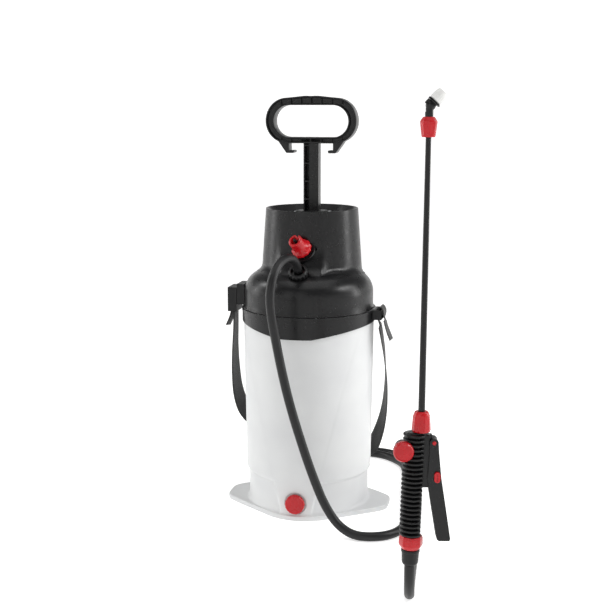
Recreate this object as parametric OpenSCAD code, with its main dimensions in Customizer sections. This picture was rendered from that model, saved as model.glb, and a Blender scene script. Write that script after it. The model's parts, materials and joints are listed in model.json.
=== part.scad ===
// Hand-pumped compression sprayer: a translucent tank under a black cover, with a pump, relief valve,
// shoulder strap, hose and spray lance. The frame stands on z = 0 at the middle of the tank's foot.
// The front, where the hose leaves the cover, faces -Y, and +Z is up. All sizes are in millimetres.

/* [Tank] */
// Outer radius of the tank under the collar
tank_top_r = 91; // [90:0.5:91.5]
// Outer radius of the tank just above the foot step
tank_low_r = 88; // [87:0.5:89]
// Outer radius of the stepped-in ring above the foot
foot_ring_r = 84.5; // [83:0.5:85]
// Wall of the blown tank
tank_wall = 2.6; // [2:0.2:3]
// Half of the foot plate's length from side to side
foot_half = 116; // [112:1:118]
// Thickness of the foot plate
foot_t = 7; // [6:0.5:9]
// Height of the drain plug's axis
drain_z = 24; // [23:0.5:25]

/* [Cover] */
// Height of the seam between the collar and the cover
seam_z = 283; // [282:0.5:284]
// Height of the funnel rim
rim_z = 419; // [418:0.5:420]
// Outer radius of the cover's shoulder
shoulder_r = 89.6; // [89:0.1:90]
// Outer radius of the funnel rim
rim_r = 64.3; // [63.5:0.1:65]
// Wall of the cover
cover_wall = 2.4; // [2:0.2:2.8]
// Half width of the raised panel below the outlet
panel_half = 29; // [27:0.5:31]

/* [Pump] */
// Distance of the pump's axis behind the tank's axis
pump_y = 20; // [19:0.5:21]
// Stroke of the pump rod
pump_stroke = 76; // [60:1:76]
// Width of the rod, side to side
rod_w = 21; // [20:0.5:22]
// Depth of the rod, front to back
rod_d = 16; // [15:0.5:16.5]
// Height of the handle's crown
handle_top_z = 572; // [571:0.5:573]
// Depth of the handle, front to back
handle_d = 22; // [20:0.5:24]

/* [Hose and strap] */
// Outside diameter of the hose
hose_od = 12; // [11:0.5:12.5]
// Width of the webbing
strap_w = 25; // [20:1:26]
// Thickness of the webbing
strap_t = 1.6; // [1.4:0.1:1.8]

/* [Lance and gun] */
// Place of the lance's axis, left to right
lance_x = 199; // [197:1:202]
// Place of the lance's axis, front to back
lance_y = -340; // [-342:1:-338]
// Turn of the gun about the vertical
gun_turn = 12.5; // [11:0.5:14]
// Outer radius of the grip's fins
fin_r = 13.4; // [13:0.1:13.5]
// Number of fins on the grip
fin_count = 23; // [20:1:24]
// Travel of the lock button in the lever
lock_travel = 2.4; // [1.5:0.1:2.4]

/* [Hidden] */
$fn = 72;

black = "#2a2a2a";
dark = "#1c1c1c";
grey = "#77787a";
red = "#b0252b";
milky = "#d8dadb";
white = "#e8e8e6";
rubber = "#161616";
steel = "#b8b8b4";
web = "#202020";

eps = 0.01;
free_gap = 0.3;     // clearance between pieces that only lie beside each other
run_gap = 0.05;     // radial clearance of a running fit
neck_bottom_z = 345;
dome_r = 30;        // radius of the shoulder's rounding
dome_z = 305;       // height at which the rounding starts
funnel_floor_z = 393;
tank_neck_r = 31;
neck_top_z = 392;   // top of the tank's neck
nut_z = 397;        // the pump nut's shoulder above the neck
guide_z = 409;      // underside of the guide ring
cylinder_r = 22;
guide_r = 22.3;
piston_z = handle_top_z - 272;   // underside of the piston with the handle up
cylinder_z = piston_z - pump_stroke - 24;   // foot of the pump cylinder
rod_top_z = handle_top_z - 64;   // the rod meets the handle's lower bar here
rib_pitch = 24.6;   // spacing of the cross ribs in the rod's open channels

// The outlet nut points forward and up; the relief valve points forward, up and to one side.
outlet_at = [0, -71, 344];
outlet_tilt = 40;   // angle of the outlet's axis from the vertical
valve_at = [3, -50, 367];
valve_aim = [-0.28, -0.73, 0.62];

// Places on the gun, in its own frame: x to the lever's side, z up from the floor.
grip_x = -5.5;
grip_top_z = 235;
grip_lean = 1.5;
lance_lean = 0.35;
lever_pivot = [13.6, 201];
knob_at = [-20, 193];
button_at = [17.4, 163];
pin_z = 168;        // height of the valve pin behind the lever
elbow_z = 561;
nozzle_tilt = 43;   // angle of the nozzle from the vertical

function unit(v) = v / norm(v);
function lerp(a, b, t) = a + (b - a) * t;

// Points of a circular arc from angle a0 to a1, in the plane
function arc(c, r, a0, a1, n = 8) = [for (i = [0:n]) c + r * [cos(lerp(a0, a1, i / n)), sin(lerp(a0, a1, i / n))]];

// A smooth curve through the route's points, with stations no further apart than gap
function mid(p, i, t) = let (
    a = p[max(i - 1, 0)],
    b = p[i],
    c = p[i + 1],
    d = p[min(i + 2, len(p) - 1)],
    s = norm(c - b),
    m0 = (c - a) / max(norm(b - a) + s, 1) * s,
    m1 = (d - b) / max(norm(d - c) + s, 1) * s)
    (2 * t ^ 3 - 3 * t ^ 2 + 1) * b + (t ^ 3 - 2 * t ^ 2 + t) * m0
        + (3 * t ^ 2 - 2 * t ^ 3) * c + (t ^ 3 - t ^ 2) * m1;
function smooth(p, gap) = concat(
    [for (i = [0:len(p) - 2], n = [max(1, ceil(norm(p[i + 1] - p[i]) / gap))], k = [0:n - 1]) mid(p, i, k / n)],
    [p[len(p) - 1]]);
function tangent(p, i) = unit(p[min(i + 1, len(p) - 1)] - p[max(i - 1, 0)]);

// Skin over a list of rings that all have the same number of points
module skin(rings) {
    n = len(rings[0]);
    last = len(rings) - 1;
    points = [for (ring = rings) each ring];
    sides = [for (i = [0:last - 1], k = [0:n - 1]) let (a = i * n, b = a + n, j = (k + 1) % n)
        each [[a + k, a + j, b + j], [a + k, b + j, b + k]]];
    faces = concat([[for (k = [n - 1:-1:0]) k]], sides, [[for (k = [0:n - 1]) last * n + k]]);
    polyhedron(points = points, faces = faces, convexity = 10);
}

// Round tube along a route; the ring's reference direction is carried along without twist
module tube(p, r, n = 10) {
    t = [for (i = [0:len(p) - 1]) tangent(p, i)];
    u = [for (i = 0, v = [1, 0, 0]; i < len(p); i = i + 1,
        v = i < len(p) ? unit(v - (v * t[i]) * t[i]) : v) unit(v - (v * t[i]) * t[i])];
    skin([for (i = [0:len(p) - 1]) [for (k = [0:n - 1])
        p[i] + r * (cos(360 * k / n) * u[i] + sin(360 * k / n) * cross(t[i], u[i]))]]);
}

// Side of the webbing that faces away from the bar at the right lug, and elsewhere towards the tank
bar_at = [103, 0, 280];
function strap_face(p) = p[0] > 107.5 ? [p[0], p[1], 0]
    : p[0] > 95 && p[2] > 262 ? p - bar_at
    : [-p[0], -p[1], 0];

// Flat ribbon along a route
module ribbon(p, w, t) {
    skin([for (i = [0:len(p) - 1])
        let (
            d = tangent(p, i),
            o = strap_face(p[i]),
            n = unit(o - (o * d) * d),
            s = cross(d, n))
        [p[i] - s * w / 2 - n * t / 2, p[i] + s * w / 2 - n * t / 2,
            p[i] + s * w / 2 + n * t / 2, p[i] - s * w / 2 + n * t / 2]]);
}

// Coil spring along z: a six-sided wire swept along a helix
module coil(r, wire, h, turns) {
    steps = 14;
    skin([for (i = [0:turns * steps]) let (a = 360 * i / steps, z = wire + (h - 2 * wire) * i / (turns * steps))
        [for (k = [0:5]) let (q = r + wire * cos(60 * k)) [q * cos(a), q * sin(a), z + wire * sin(60 * k)]]]);
}

// Frames of the sub-assemblies
module at_pump() translate([0, pump_y, 0]) children();
module at_outlet() translate(outlet_at) rotate([outlet_tilt, 0, 0]) children();
module at_valve() translate(valve_at)
    rotate([0, acos(unit(valve_aim)[2]), atan2(valve_aim[1], valve_aim[0])]) children();
module at_gun() translate([lance_x, lance_y, 0]) rotate([0, 0, gun_turn]) children();
module at_grip() at_gun() translate([grip_x, 0, grip_top_z]) rotate([0, grip_lean, 0]) children();
module at_lance() at_gun() translate([0, 0, grip_top_z]) rotate([0, lance_lean, 0])
    translate([0, 0, -grip_top_z]) children();
module at_nozzle() at_lance() translate([1.5, 0, elbow_z]) rotate([0, nozzle_tilt, 0]) children();
module at_drain() translate([0, 0, drain_z]) rotate([90, 0, 0]) children();
module front_slab(w) rotate([90, 0, 90]) translate([0, 0, -w / 2]) linear_extrude(w) children();

// ---- Tank -------------------------------------------------------------------------------------

// Half outline of the tank's body, shrunk by g on the outside
function tank_line(g) = concat(
    [[0, g], [foot_ring_r - g, g], [foot_ring_r - g, 50], [tank_low_r - g, 57], [tank_top_r - g, seam_z - 1 - g]],
    [[shoulder_r - cover_wall - 1.2 - g, seam_z - 1 - g]],
    arc([56 - g, 293 - g], 29, 0, 80, 6),
    [[0, 322 - g]]);

// Outline of the foot plate: two side feet and a rounded front and back
module foot_outline() {
    front = arc([0, -21], 70, 306, 234, 12);
    polygon(concat(front, [[-foot_half * 0.93, -28], [-foot_half, -16]], [[-foot_half, 16], [-foot_half * 0.93, 28]],
        [for (p = front) [-p[0], -p[1]]], [[foot_half * 0.93, 28], [foot_half, 16]],
        [[foot_half, -16], [foot_half * 0.93, -28]]));
}

// Panel that runs down flush with the upper body to the drain, narrower at its foot
module drain_panel(g) {
    intersection() {
        front_panel = [[-33 + g, 60], [-19 + g, 6 + g], [19 - g, 6 + g], [33 - g, 60]];
        rotate([90, 0, 0]) linear_extrude(120) polygon(front_panel);
        cylinder(r1 = tank_low_r - 0.6 - g, r2 = tank_low_r - g, h = 60);
    }
}

module tank() {
    color(milky) difference() {
        union() {
            rotate_extrude() polygon(tank_line(0));
            linear_extrude(foot_t) foot_outline();
            drain_panel(0);
            at_pump() translate([0, 0, 305]) cylinder(r = tank_neck_r, h = neck_top_z - 305);
            at_outlet() translate([0, 0, -60]) cylinder(r = 9.5, h = 38);
            at_valve() translate([0, 0, -66]) cylinder(r = 7.5, h = 41.6);
        }
        difference() {
            union() {
                rotate_extrude() polygon(tank_line(tank_wall));
                drain_panel(tank_wall);
            }
            at_drain() translate([0, 0, 66]) cylinder(r = 11, h = 24);
            at_drain() translate([0, 0, 81.8]) cylinder(r = 17.6, h = 8);
        }
        at_pump() translate([0, 0, 300]) cylinder(r = tank_neck_r - 3.5, h = 110);
        at_drain() translate([0, 0, 60]) cylinder(r = 8, h = 40);
        at_drain() translate([0, 0, 84.5]) cylinder(r = 15.5, h = 10);
        at_outlet() translate([0, 0, -70]) cylinder(r = 6.2, h = 80);
        at_valve() translate([0, 0, -80]) cylinder(r = 2.4, h = 80);
    }
}

module drain_plug() {
    color(red) at_drain() difference() {
        union() {
            translate([0, 0, 68]) cylinder(r = 8 - run_gap, h = 24);
            translate([0, 0, 86.8]) cylinder(r = 13, h = 7);
            translate([0, 0, 93.8]) cylinder(r1 = 13, r2 = 11.6, h = 1.4);
            for (i = [0:17]) rotate(i * 20) translate([13, 0, 86.8]) cylinder(r = 0.7, h = 6.6, $fn = 16);
        }
        translate([0, 0, 60]) cylinder(r = 5.6, h = 24);
        translate([0, 0, 93.4]) cylinder(r = 8.6, h = 5);
    }
}

module drain_washer() {
    color(rubber) at_drain() translate([0, 0, 84.6]) difference() {
        cylinder(r = 11.5, h = 2.1);
        translate([0, 0, -1]) cylinder(r = 8.2, h = 5);
    }
}

// ---- Cover and collar ---------------------------------------------------------------------------

// Half outline of the shoulder about the tank's axis
function shoulder_line(g) = concat(
    [[0, seam_z - eps], [shoulder_r + 1 - g, seam_z - eps], [shoulder_r - g, seam_z + 8]],
    arc([shoulder_r - dome_r, dome_z], dome_r - g, 0, 90, 8),
    [[0, dome_z + dome_r - g]]);

// Half outline of the neck about the pump's axis, with its concave flare
neck_r = rim_r + (rim_z - neck_bottom_z) * 0.07;
function neck_line(g) = concat(
    [[0, dome_z], [neck_r + 12 - g, dome_z]],
    arc([neck_r + 12 - g, neck_bottom_z + 2], 12, 250, 180, 6),
    [[rim_r - g, rim_z], [0, rim_z]]);

// Side outline of the raised panel, from the neck down over the shoulder, in the Y-Z plane
function panel_line(g) = concat(
    [[20, 300], [-shoulder_r + 8 + g, 300], [-shoulder_r + 0.6 + g, dome_z - 1]],
    arc([-shoulder_r + dome_r, dome_z], dome_r - 0.4 - g, 180, 128, 5),
    [[-68 + g, 332 - g], [-60 + g, 337.5 - g], [-54 + g, 346 - g], [-50.5 + g, 358], [-46.5 + g, 385], [20, 385]]);

module cover_shape(g) {
    rotate_extrude() polygon(shoulder_line(g));
    intersection() {
        at_pump() rotate_extrude() polygon(neck_line(g));
        cylinder(r = shoulder_r - g, h = 500);
    }
    front_slab(2 * (panel_half - g)) polygon(panel_line(g));
    front_slab(2 * (panel_half + 5 - g)) polygon(panel_line(g + 3));
}

module cover() {
    color(black) difference() {
        cover_shape(0);
        difference() {
            cover_shape(cover_wall);
            at_pump() translate([0, 0, funnel_floor_z - cover_wall]) cylinder(r = 90, h = 60);
            at_outlet() translate([0, 0, -17]) cylinder(r = 15.8, h = 60);
            at_valve() translate([0, 0, -2]) cylinder(r = 17, h = 60);
        }
        translate([0, 0, seam_z - 5]) cylinder(r = shoulder_r - cover_wall, h = 10);
        at_pump() translate([0, 0, funnel_floor_z])
            cylinder(r1 = 44, r2 = rim_r - 1.6, h = rim_z - funnel_floor_z + eps);
        at_pump() translate([0, 0, 375]) cylinder(r = 35, h = 60);
        at_outlet() translate([0, 0, -40]) cylinder(r = 8.2, h = 60);
        at_outlet() translate([0, 0, -14]) cylinder(r = 13.4, h = 40);
        at_valve() translate([0, 0, -30]) cylinder(r = 9.3, h = 60);
        at_valve() translate([0, 0, 0.5]) cylinder(r = 14.8, h = 40);
    }
}

// The collar's lower edge is lowest at the front and back and rises to the sides
module collar() {
    inner = tank_top_r + 0.4;
    low = seam_z - 30;
    color(black) difference() {
        union() {
            translate([0, 0, low]) cylinder(r = inner + 1.5, h = seam_z - low - 0.3);
            translate([0, 0, seam_z - 3.5]) cylinder(r = inner + 2, h = 3.2);
        }
        translate([0, 0, low - 1]) cylinder(r = inner, h = 60);
        for (side = [-1, 1]) translate([side * 22, 0, low])
            rotate([90, 0, 0]) translate([0, 0, -120]) linear_extrude(240)
                polygon([[0, 0], [side * 90, 17], [side * 90, -5], [0, -5]]);
    }
}

// ---- Pump ---------------------------------------------------------------------------------------

module pump_cylinder() {
    color(white) at_pump() difference() {
        union() {
            translate([0, 0, cylinder_z]) cylinder(r = cylinder_r, h = nut_z - 0.3 - cylinder_z);
            translate([0, 0, nut_z - 3.3]) cylinder(r = 30, h = 3);
        }
        translate([0, 0, cylinder_z + 3]) cylinder(r = cylinder_r - 2, h = 300);
        for (a = [0, 120, 240]) rotate(a) translate([9, 0, cylinder_z - 10]) cylinder(r = 2.5, h = 20, $fn = 24);
        translate([0, 0, cylinder_z - 10]) cylinder(r = 1.6, h = 20, $fn = 24);
    }
}

// Rubber flap that closes the holes in the cylinder's foot, held by its own stud
module foot_valve() {
    color(rubber) at_pump() translate([0, 0, cylinder_z]) {
        translate([0, 0, -1.8]) cylinder(r = 14, h = 1.7);
        translate([0, 0, -1]) cylinder(r = 1.5, h = 4.5, $fn = 24);
        translate([0, 0, 3.1]) cylinder(r1 = 2.6, r2 = 1.2, h = 2, $fn = 24);
    }
}

module pump_gasket() {
    color(rubber) at_pump() translate([0, 0, neck_top_z + 0.1]) difference() {
        cylinder(r = tank_neck_r, h = 1.5);
        translate([0, 0, -1]) cylinder(r = cylinder_r + 0.4, h = 5);
    }
}

// Cap nut that screws over the tank's neck, with finger ribs round its stepped crown
module pump_nut() {
    color(grey) at_pump() difference() {
        union() {
            translate([0, 0, nut_z - 13]) cylinder(r = 34, h = 15);
            translate([0, 0, nut_z + 2]) cylinder(r = 28, h = 12);
            translate([0, 0, nut_z + 14]) cylinder(r = 25.2, h = 2.6);
            for (i = [0:11]) rotate(15 + i * 30) translate([27.4, -2, nut_z + 2.2]) cube([2.6, 4, 11]);
            for (i = [0:5]) rotate(30 + i * 60) translate([24.6, -3, nut_z + 13.8]) cube([3, 6, 3.1]);
        }
        translate([0, 0, nut_z - 14]) cylinder(r = 31.2, h = 14);
        translate([0, 0, nut_z - 1]) cylinder(r = 14.8, h = 30);
        translate([0, 0, guide_z - 0.1]) cylinder(r = guide_r + run_gap, h = 30);
    }
}

// Ring with a rectangular hole: it guides the rod and turns with it
module rod_guide() {
    color(dark) at_pump() difference() {
        union() {
            translate([0, 0, guide_z]) cylinder(r = guide_r, h = 5.4);
            translate([0, 0, guide_z + 5.4]) cylinder(r1 = guide_r, r2 = guide_r - 1.6, h = 0.9);
        }
        translate([-rod_w / 2 - free_gap, -rod_d / 2 - free_gap, guide_z - 1])
            cube([rod_w + 2 * free_gap, rod_d + 2 * free_gap, 20]);
    }
}

// Moulded rod: two open channels, one at the front left and one at the back right, with cross ribs
module rod_section(solid) {
    difference() {
        square([rod_w, rod_d], center = true);
        if (!solid) for (a = [0, 180]) rotate(a)
            translate([-rod_w / 2 + 1.8, -rod_d / 2 - 1]) square([6.4, rod_d - 1.2]);
    }
}

module pump_rod() {
    bottom = piston_z + 8;
    color(black) at_pump() {
        translate([0, 0, bottom]) linear_extrude(rod_top_z + 1 - bottom) rod_section(false);
        for (z = [rod_top_z - 2:-rib_pitch:bottom]) translate([0, 0, z - 1.6]) linear_extrude(1.6) rod_section(true);
        translate([0, 0, bottom]) linear_extrude(4) rod_section(true);
        translate([0, 0, piston_z - 5]) cylinder(r = 5, h = 14);
    }
}

module piston() {
    color(dark) at_pump() translate([0, 0, piston_z]) difference() {
        union() {
            cylinder(r = cylinder_r - 2.6, h = 2.4);
            cylinder(r = cylinder_r - 5.5, h = 7.6);
            translate([0, 0, 5.2]) cylinder(r = cylinder_r - 2.6, h = 2.4);
        }
        translate([0, 0, -1]) cylinder(r = 5.1, h = 20);
    }
}

module piston_seal() {
    color(rubber) at_pump() translate([0, 0, piston_z + 3.8]) rotate_extrude()
        translate([cylinder_r - 2 - 1.3 - run_gap, 0]) circle(r = 1.3, $fn = 20);
}

// ---- Handle -------------------------------------------------------------------------------------

// Outline of the grip loop: round ends, flat bottom and an arched top, shrunk by g
module loop_outline(g) {
    end_x = 33.5;
    mid_z = handle_top_z - 34;
    for (s = [-1, 1]) translate([s * end_x, mid_z]) circle(r = 30 - g);
    translate([-end_x, mid_z - 30 + g]) square([2 * end_x, 60 - 2 * g]);
    crown_r = 132;
    polygon(concat([[end_x, mid_z], [-end_x, mid_z]],
        arc([0, handle_top_z - crown_r - g], crown_r, 90 + 15.5, 90 - 15.5, 10)));
}

module loop_opening(g) {
    end_x = 30.6;
    mid_z = handle_top_z - 33.7;
    for (s = [-1, 1]) translate([s * end_x, mid_z]) circle(r = 21.7 + g);
    translate([-end_x, mid_z - 21.7 - g]) square([2 * end_x, 43.4 + 2 * g]);
}

// Downward hook at each side of the handle's lower bar
module hook_outline() {
    z = handle_top_z - 64;
    polygon([[29, z + 5], [31, z], [31, z - 10], [24.5, z - 9.4], [23.6, z - 10.6], [23.6, z - 12], [24.8, z - 13.4],
        [34.5, z - 13.4], [46.5, z + 3.5], [42, z + 5]]);
}

module handle() {
    color(black) at_pump() rotate([90, 0, 0]) translate([0, 0, -handle_d / 2]) {
        difference() {
            union() {
                linear_extrude(handle_d) loop_outline(0);
                for (s = [0, 1]) mirror([s, 0, 0]) translate([0, 0, 1]) linear_extrude(handle_d - 2) hook_outline();
            }
            translate([0, 0, -1]) linear_extrude(handle_d + 2) loop_opening(0);
            for (z = [-1, handle_d - 5]) translate([0, 0, z]) linear_extrude(6) difference() {
                loop_outline(2.2);
                loop_opening(2.2);
                for (x = [-57:14.25:57]) translate([x - 0.8, handle_top_z - 70]) square([1.6, 80]);
            }
        }
    }
}

// ---- Outlet, dip tube and strainer --------------------------------------------------------------

module outlet_spigot() {
    color(black) at_outlet() difference() {
        union() {
            translate([0, 0, -34]) cylinder(r = 6, h = 34);
            translate([0, 0, -19.8]) cylinder(r = 9, h = 2.4);
            translate([0, 0, -18]) cylinder(r = 8, h = 13);
        }
        translate([0, 0, -40]) cylinder(r = 3.4, h = 50);
    }
}

module outlet_seal() {
    color(rubber) at_outlet() translate([0, 0, -21.9]) difference() {
        cylinder(r = 9.2, h = 2);
        translate([0, 0, -1]) cylinder(r = 6.05, h = 4);
    }
}

// Ribbed nut that holds the hose in the outlet
module outlet_nut() {
    color(dark) at_outlet() difference() {
        union() {
            translate([0, 0, -13.6]) cylinder(r = 12.2, h = 11.1);
            translate([0, 0, -2.5]) cylinder(r1 = 12.2, r2 = 11.2, h = 2.5);
            for (i = [0:15]) rotate(i * 22.5) translate([12, 0, -13.4]) cylinder(r = 0.8, h = 10, $fn = 16);
        }
        translate([0, 0, -15]) cylinder(r = 8.2, h = 20);
        translate([0, 0, -4]) cylinder(r = 9, h = 20);
    }
}

module dip_tube() {
    foot = [0, -30, 9];
    route = smooth([[0, -49, 318], [0, -43, 309], [0, -38, 280], [0, -34, 200], [0, -31, 100], foot], 40);
    color(white) tube(route, 3.3, 12);
}

module strainer() {
    color(dark) translate([0, -30, 4.5]) difference() {
        union() {
            cylinder(r = 7, h = 4.2);
            for (i = [0:7]) rotate(i * 45) translate([5.4, -0.7, 0]) cube([1.4, 1.4, 12]);
            translate([0, 0, 11]) cylinder(r = 7, h = 2);
        }
        translate([0, 0, 4.3]) cylinder(r = 3.6, h = 20);
    }
}

// ---- Relief valve -------------------------------------------------------------------------------

module valve_body() {
    color(dark) at_valve() difference() {
        union() {
            translate([0, 0, -24]) cylinder(r = 9, h = 32);
            translate([0, 0, -22]) cylinder(r = 11, h = 3);
        }
        translate([0, 0, -20]) cylinder(r = 6, h = 26);
        translate([0, 0, -26]) cylinder(r = 2.3 + run_gap, h = 40);
    }
}

module valve_seal() {
    color(rubber) at_valve() translate([0, 0, -19.9]) difference() {
        cylinder(r = 5.8, h = 1.6);
        translate([0, 0, -1]) cylinder(r = 2.5, h = 4);
    }
}

module valve_spring() {
    color(steel) at_valve() translate([0, 0, -15.2]) coil(4.2, 0.5, 21, 6);
}

module valve_stem() {
    color(dark) at_valve() {
        translate([0, 0, -18]) cylinder(r = 4.8, h = 2.6);
        translate([0, 0, -18]) cylinder(r = 2.3, h = 44);
        translate([0, 0, 26]) cylinder(r1 = 2.3, r2 = 1.6, h = 2.4);
    }
}

// Cap with a grip flange; the stem shows in its open end
module valve_knob() {
    color(red) at_valve() difference() {
        union() {
            translate([0, 0, 2]) cylinder(r = 13.2, h = 6);
            translate([0, 0, 8]) cylinder(r1 = 13.2, r2 = 9.6, h = 8);
            translate([0, 0, 16]) cylinder(r = 9.6, h = 10);
            for (i = [0:11]) rotate(i * 30) translate([13, 0, 2.5]) cylinder(r = 0.9, h = 5, $fn = 16);
        }
        translate([0, 0, 1]) cylinder(r = 9 + free_gap, h = 11.4);
        translate([0, 0, 18]) cylinder(r = 5.6, h = 20);
        cylinder(r = 2.3, h = 40);
    }
}

// ---- Strap --------------------------------------------------------------------------------------

module strap_lug_right() {
    color(dark) difference() {
        translate([shoulder_r + 0.5, -16, 270]) cube([14.4, 32, 13.4]);
        translate([0, 0, 260]) cylinder(r = tank_top_r + 2.7, h = 40);
        translate([96.6, -13.6, 260]) cube([4.4, 27.2, 40]);
    }
}

module strap_lug_left() {
    color(dark) difference() {
        translate([-100.6, -15, 284]) cube([12, 30, 29]);
        translate([0, 0, 260]) cylinder(r = shoulder_r + 1.1, h = 80);
        translate([-98.4, -12, 287]) cube([5, 24, 22]);
        translate([-102, -6.3, 295.7]) cube([5, 12.6, 4.6]);
    }
}

module strap_buckle() {
    color(dark) difference() {
        union() {
            translate([-113.6, -15.5, 274]) cube([12.8, 31, 34]);
            translate([-101, -6, 296]) cube([5.4, 12, 4]);
        }
        translate([-111.6, -13.4, 270]) cube([8.6, 26.8, 22]);
        for (z = [295, 301.5]) translate([-120, -11, z]) cube([12, 22, 3.6]);
    }
}

// The webbing runs from its free end over the right lug's bar, down behind the tank, and up to the buckle
strap_route = [[117, -3, 241], [111, -2, 256], [107, 0, 270], [107, 0, 281], [103, 0, 287.4], [98.9, 0, 281],
    [99.4, 1, 266], [102.5, 5, 245], [105.5, 14, 215], [105.5, 32, 170], [99.5, 53, 122], [88, 74, 82], [75, 90, 58],
    [48, 104, 46], [15, 110, 45], [-20, 111, 52], [-52, 107, 63], [-80, 97, 76], [-101, 83, 91], [-113, 64, 113],
    [-117, 46, 143], [-115.5, 29, 180], [-112, 15, 215], [-108, 5, 246], [-106, 0, 272], [-106, 0, 288]];
strap_tail = [[-110, 0, 288], [-110, 0, 273], [-112, -1, 264], [-117, -3, 252]];

module strap() {
    color(web) {
        ribbon(smooth(strap_route, 24), strap_w, strap_t);
        ribbon(smooth(strap_tail, 24), strap_w, strap_t);
    }
}

// ---- Hose ---------------------------------------------------------------------------------------

// Route of the hose's middle line: over and down in front of the tank, round on the floor to a
// turn behind it, and back along the floor to rise into the gun. Its ends meet the two barbs.
floor_z = 6;
hose_route = [[0, -71.4, 344.5], [0, -77, 351], [-2, -92, 361], [-7, -113, 364], [-12, -133, 357], [-16, -148, 340],
    [-17, -154, 315], [-12, -150, 270], [3, -143, 190], [24, -138, 115], [43, -134, 60], [55, -133, 35],
    [68, -134.5, 18.5], [83, -137, 9], [99, -139.5, floor_z], [115, -138, floor_z], [131, -130, floor_z],
    [143, -115, floor_z],
    [149, -95, floor_z], [148, -60, floor_z], [140, 10, floor_z], [128, 100, floor_z], [115, 165, floor_z],
    [96, 194, floor_z], [72, 212, floor_z], [44, 216, floor_z], [12, 203, floor_z], [-24, 178, floor_z],
    [-63, 172, floor_z], [-95, 196, floor_z], [-100, 235, floor_z], [-76, 267, floor_z], [-36, 272, floor_z],
    [12, 248, floor_z], [56, 231, floor_z], [90, 220, floor_z], [118, 184, floor_z], [142, 113, floor_z],
    [166, -90, floor_z], [183, -292, floor_z], [185.5, -311, 9.8], [187.3, -327.3, 20.6], [188.5, -338.1, 36.9],
    [188.9, -341.6, 50.8], [189, -342, 59.2]];

module hose() {
    route = [for (p = smooth(hose_route, 34)) [p[0], p[1], max(p[2], floor_z)]];
    color(web) tube(route, hose_od / 2 - 0.05, 10);
}

// ---- Gun ----------------------------------------------------------------------------------------

module hose_barb() {
    color(dark) at_grip() difference() {
        union() {
            translate([0, 0, -175]) cylinder(r = 5.6, h = 22);
            translate([0, 0, -160]) cylinder(r = 8.6, h = 3.4);
            translate([0, 0, -154]) cylinder(r = 5.2, h = 9);
        }
        translate([0, 0, -180]) cylinder(r = 2.6, h = 60);
    }
}

module hose_nut() {
    color(dark) at_grip() difference() {
        union() {
            translate([0, 0, -160]) cylinder(r = 10.1, h = 3);
            translate([0, 0, -172]) cylinder(r = 9.5, h = 13);
            translate([0, 0, -175]) cylinder(r1 = 8, r2 = 9.5, h = 3);
        }
        translate([0, 0, -180]) cylinder(r = 6.1, h = 60);
        translate([0, 0, -161]) cylinder(r = 8.8, h = 10);
    }
}

module gun_nut() {
    color(red) at_grip() difference() {
        union() {
            translate([0, 0, -152]) cylinder(r = 13.6, h = 9.6, $fn = 8);
            translate([0, 0, -156.4]) cylinder(r1 = 10.8, r2 = 13.6, h = 4.4, $fn = 8);
            translate([0, 0, -142.4]) cylinder(r1 = 13.6, r2 = 12.2, h = 1.6, $fn = 8);
        }
        translate([0, 0, -152.2]) cylinder(r = 9.2, h = 20);
        translate([0, 0, -160]) cylinder(r = 5.8, h = 60);
    }
}

// Grip: a round core with thin fins, a valve block on the lever's side and a side chamber for the knob
module gun_body() {
    first_fin = -26;
    fin_pitch = 113 / (fin_count - 1);
    color(black) difference() {
        union() {
            at_grip() translate([0, 0, -151]) cylinder(r = 9, h = 12);
            at_grip() translate([0, 0, -140]) cylinder(r = 7.8, h = 117);
            at_grip() translate([0, 0, -28]) cylinder(r = 13, h = 4.6);
            at_grip() for (i = [0:fin_count - 1]) translate([0, 0, first_fin - i * fin_pitch - 1.25])
                cylinder(r = fin_r, h = 2.5);
            at_gun() translate([0, 0, 207]) cylinder(r = 6.8, h = 23);
            at_gun() translate([-6, -5.2, 150]) cube([18, 10.4, 59.5]);
            at_gun() translate([lever_pivot[0], 5.2, lever_pivot[1]]) rotate([90, 0, 0]) cylinder(r = 4.4, h = 10.4);
            at_gun() translate([knob_at[0], 0, knob_at[1]]) rotate([0, 90, 0]) cylinder(r = 7, h = 14);
            at_gun() translate([knob_at[0], 7, knob_at[1]]) rotate([90, 0, 0]) cylinder(r = 8.4, h = 13);
        }
        at_grip() translate([0, 0, -155]) cylinder(r = 5.4, h = 75);
        at_grip() translate([0, 0, -90]) cylinder(r = 3, h = 66);
        at_gun() translate([0, 0, 205]) cylinder(r = 4.7, h = 40);
        at_grip() for (y = [-8.7, 5.5]) translate([9.2, y, -132]) cube([20, 3.2, 112]);
        at_grip() translate([9.2, -8.7, -132]) cube([20, 17.4, 46]);
        at_gun() translate([lever_pivot[0], 10, lever_pivot[1]]) rotate([90, 0, 0])
            cylinder(r = 1.55 + run_gap, h = 20);
        at_gun() translate([-6, 0, pin_z]) rotate([0, 90, 0]) cylinder(r = 2 + run_gap, h = 40);
        at_gun() translate([-1, 0, pin_z]) rotate([0, 90, 0]) cylinder(r = 3.6, h = 10);
        at_gun() translate([9.4, -8, 154]) cube([6, 5.4, 18]);
        at_gun() translate([knob_at[0], 4, knob_at[1]]) rotate([90, 0, 0]) cylinder(r = 4 + run_gap, h = 20);
        at_gun() translate([knob_at[0], -6.1, knob_at[1]]) rotate([90, 0, 0]) cylinder(r = 12, h = 20);
    }
}

module gun_filter() {
    color(white) at_grip() translate([0, 0, -143]) difference() {
        cylinder(r = 5, h = 50);
        translate([0, 0, 1.4]) cylinder(r = 4, h = 60);
        for (i = [0:4]) translate([0, 0, 6 + i * 8.4]) for (a = [0, 90]) rotate(a)
            translate([-2, -10, 0]) cube([4, 20, 5.6]);
    }
}

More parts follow.
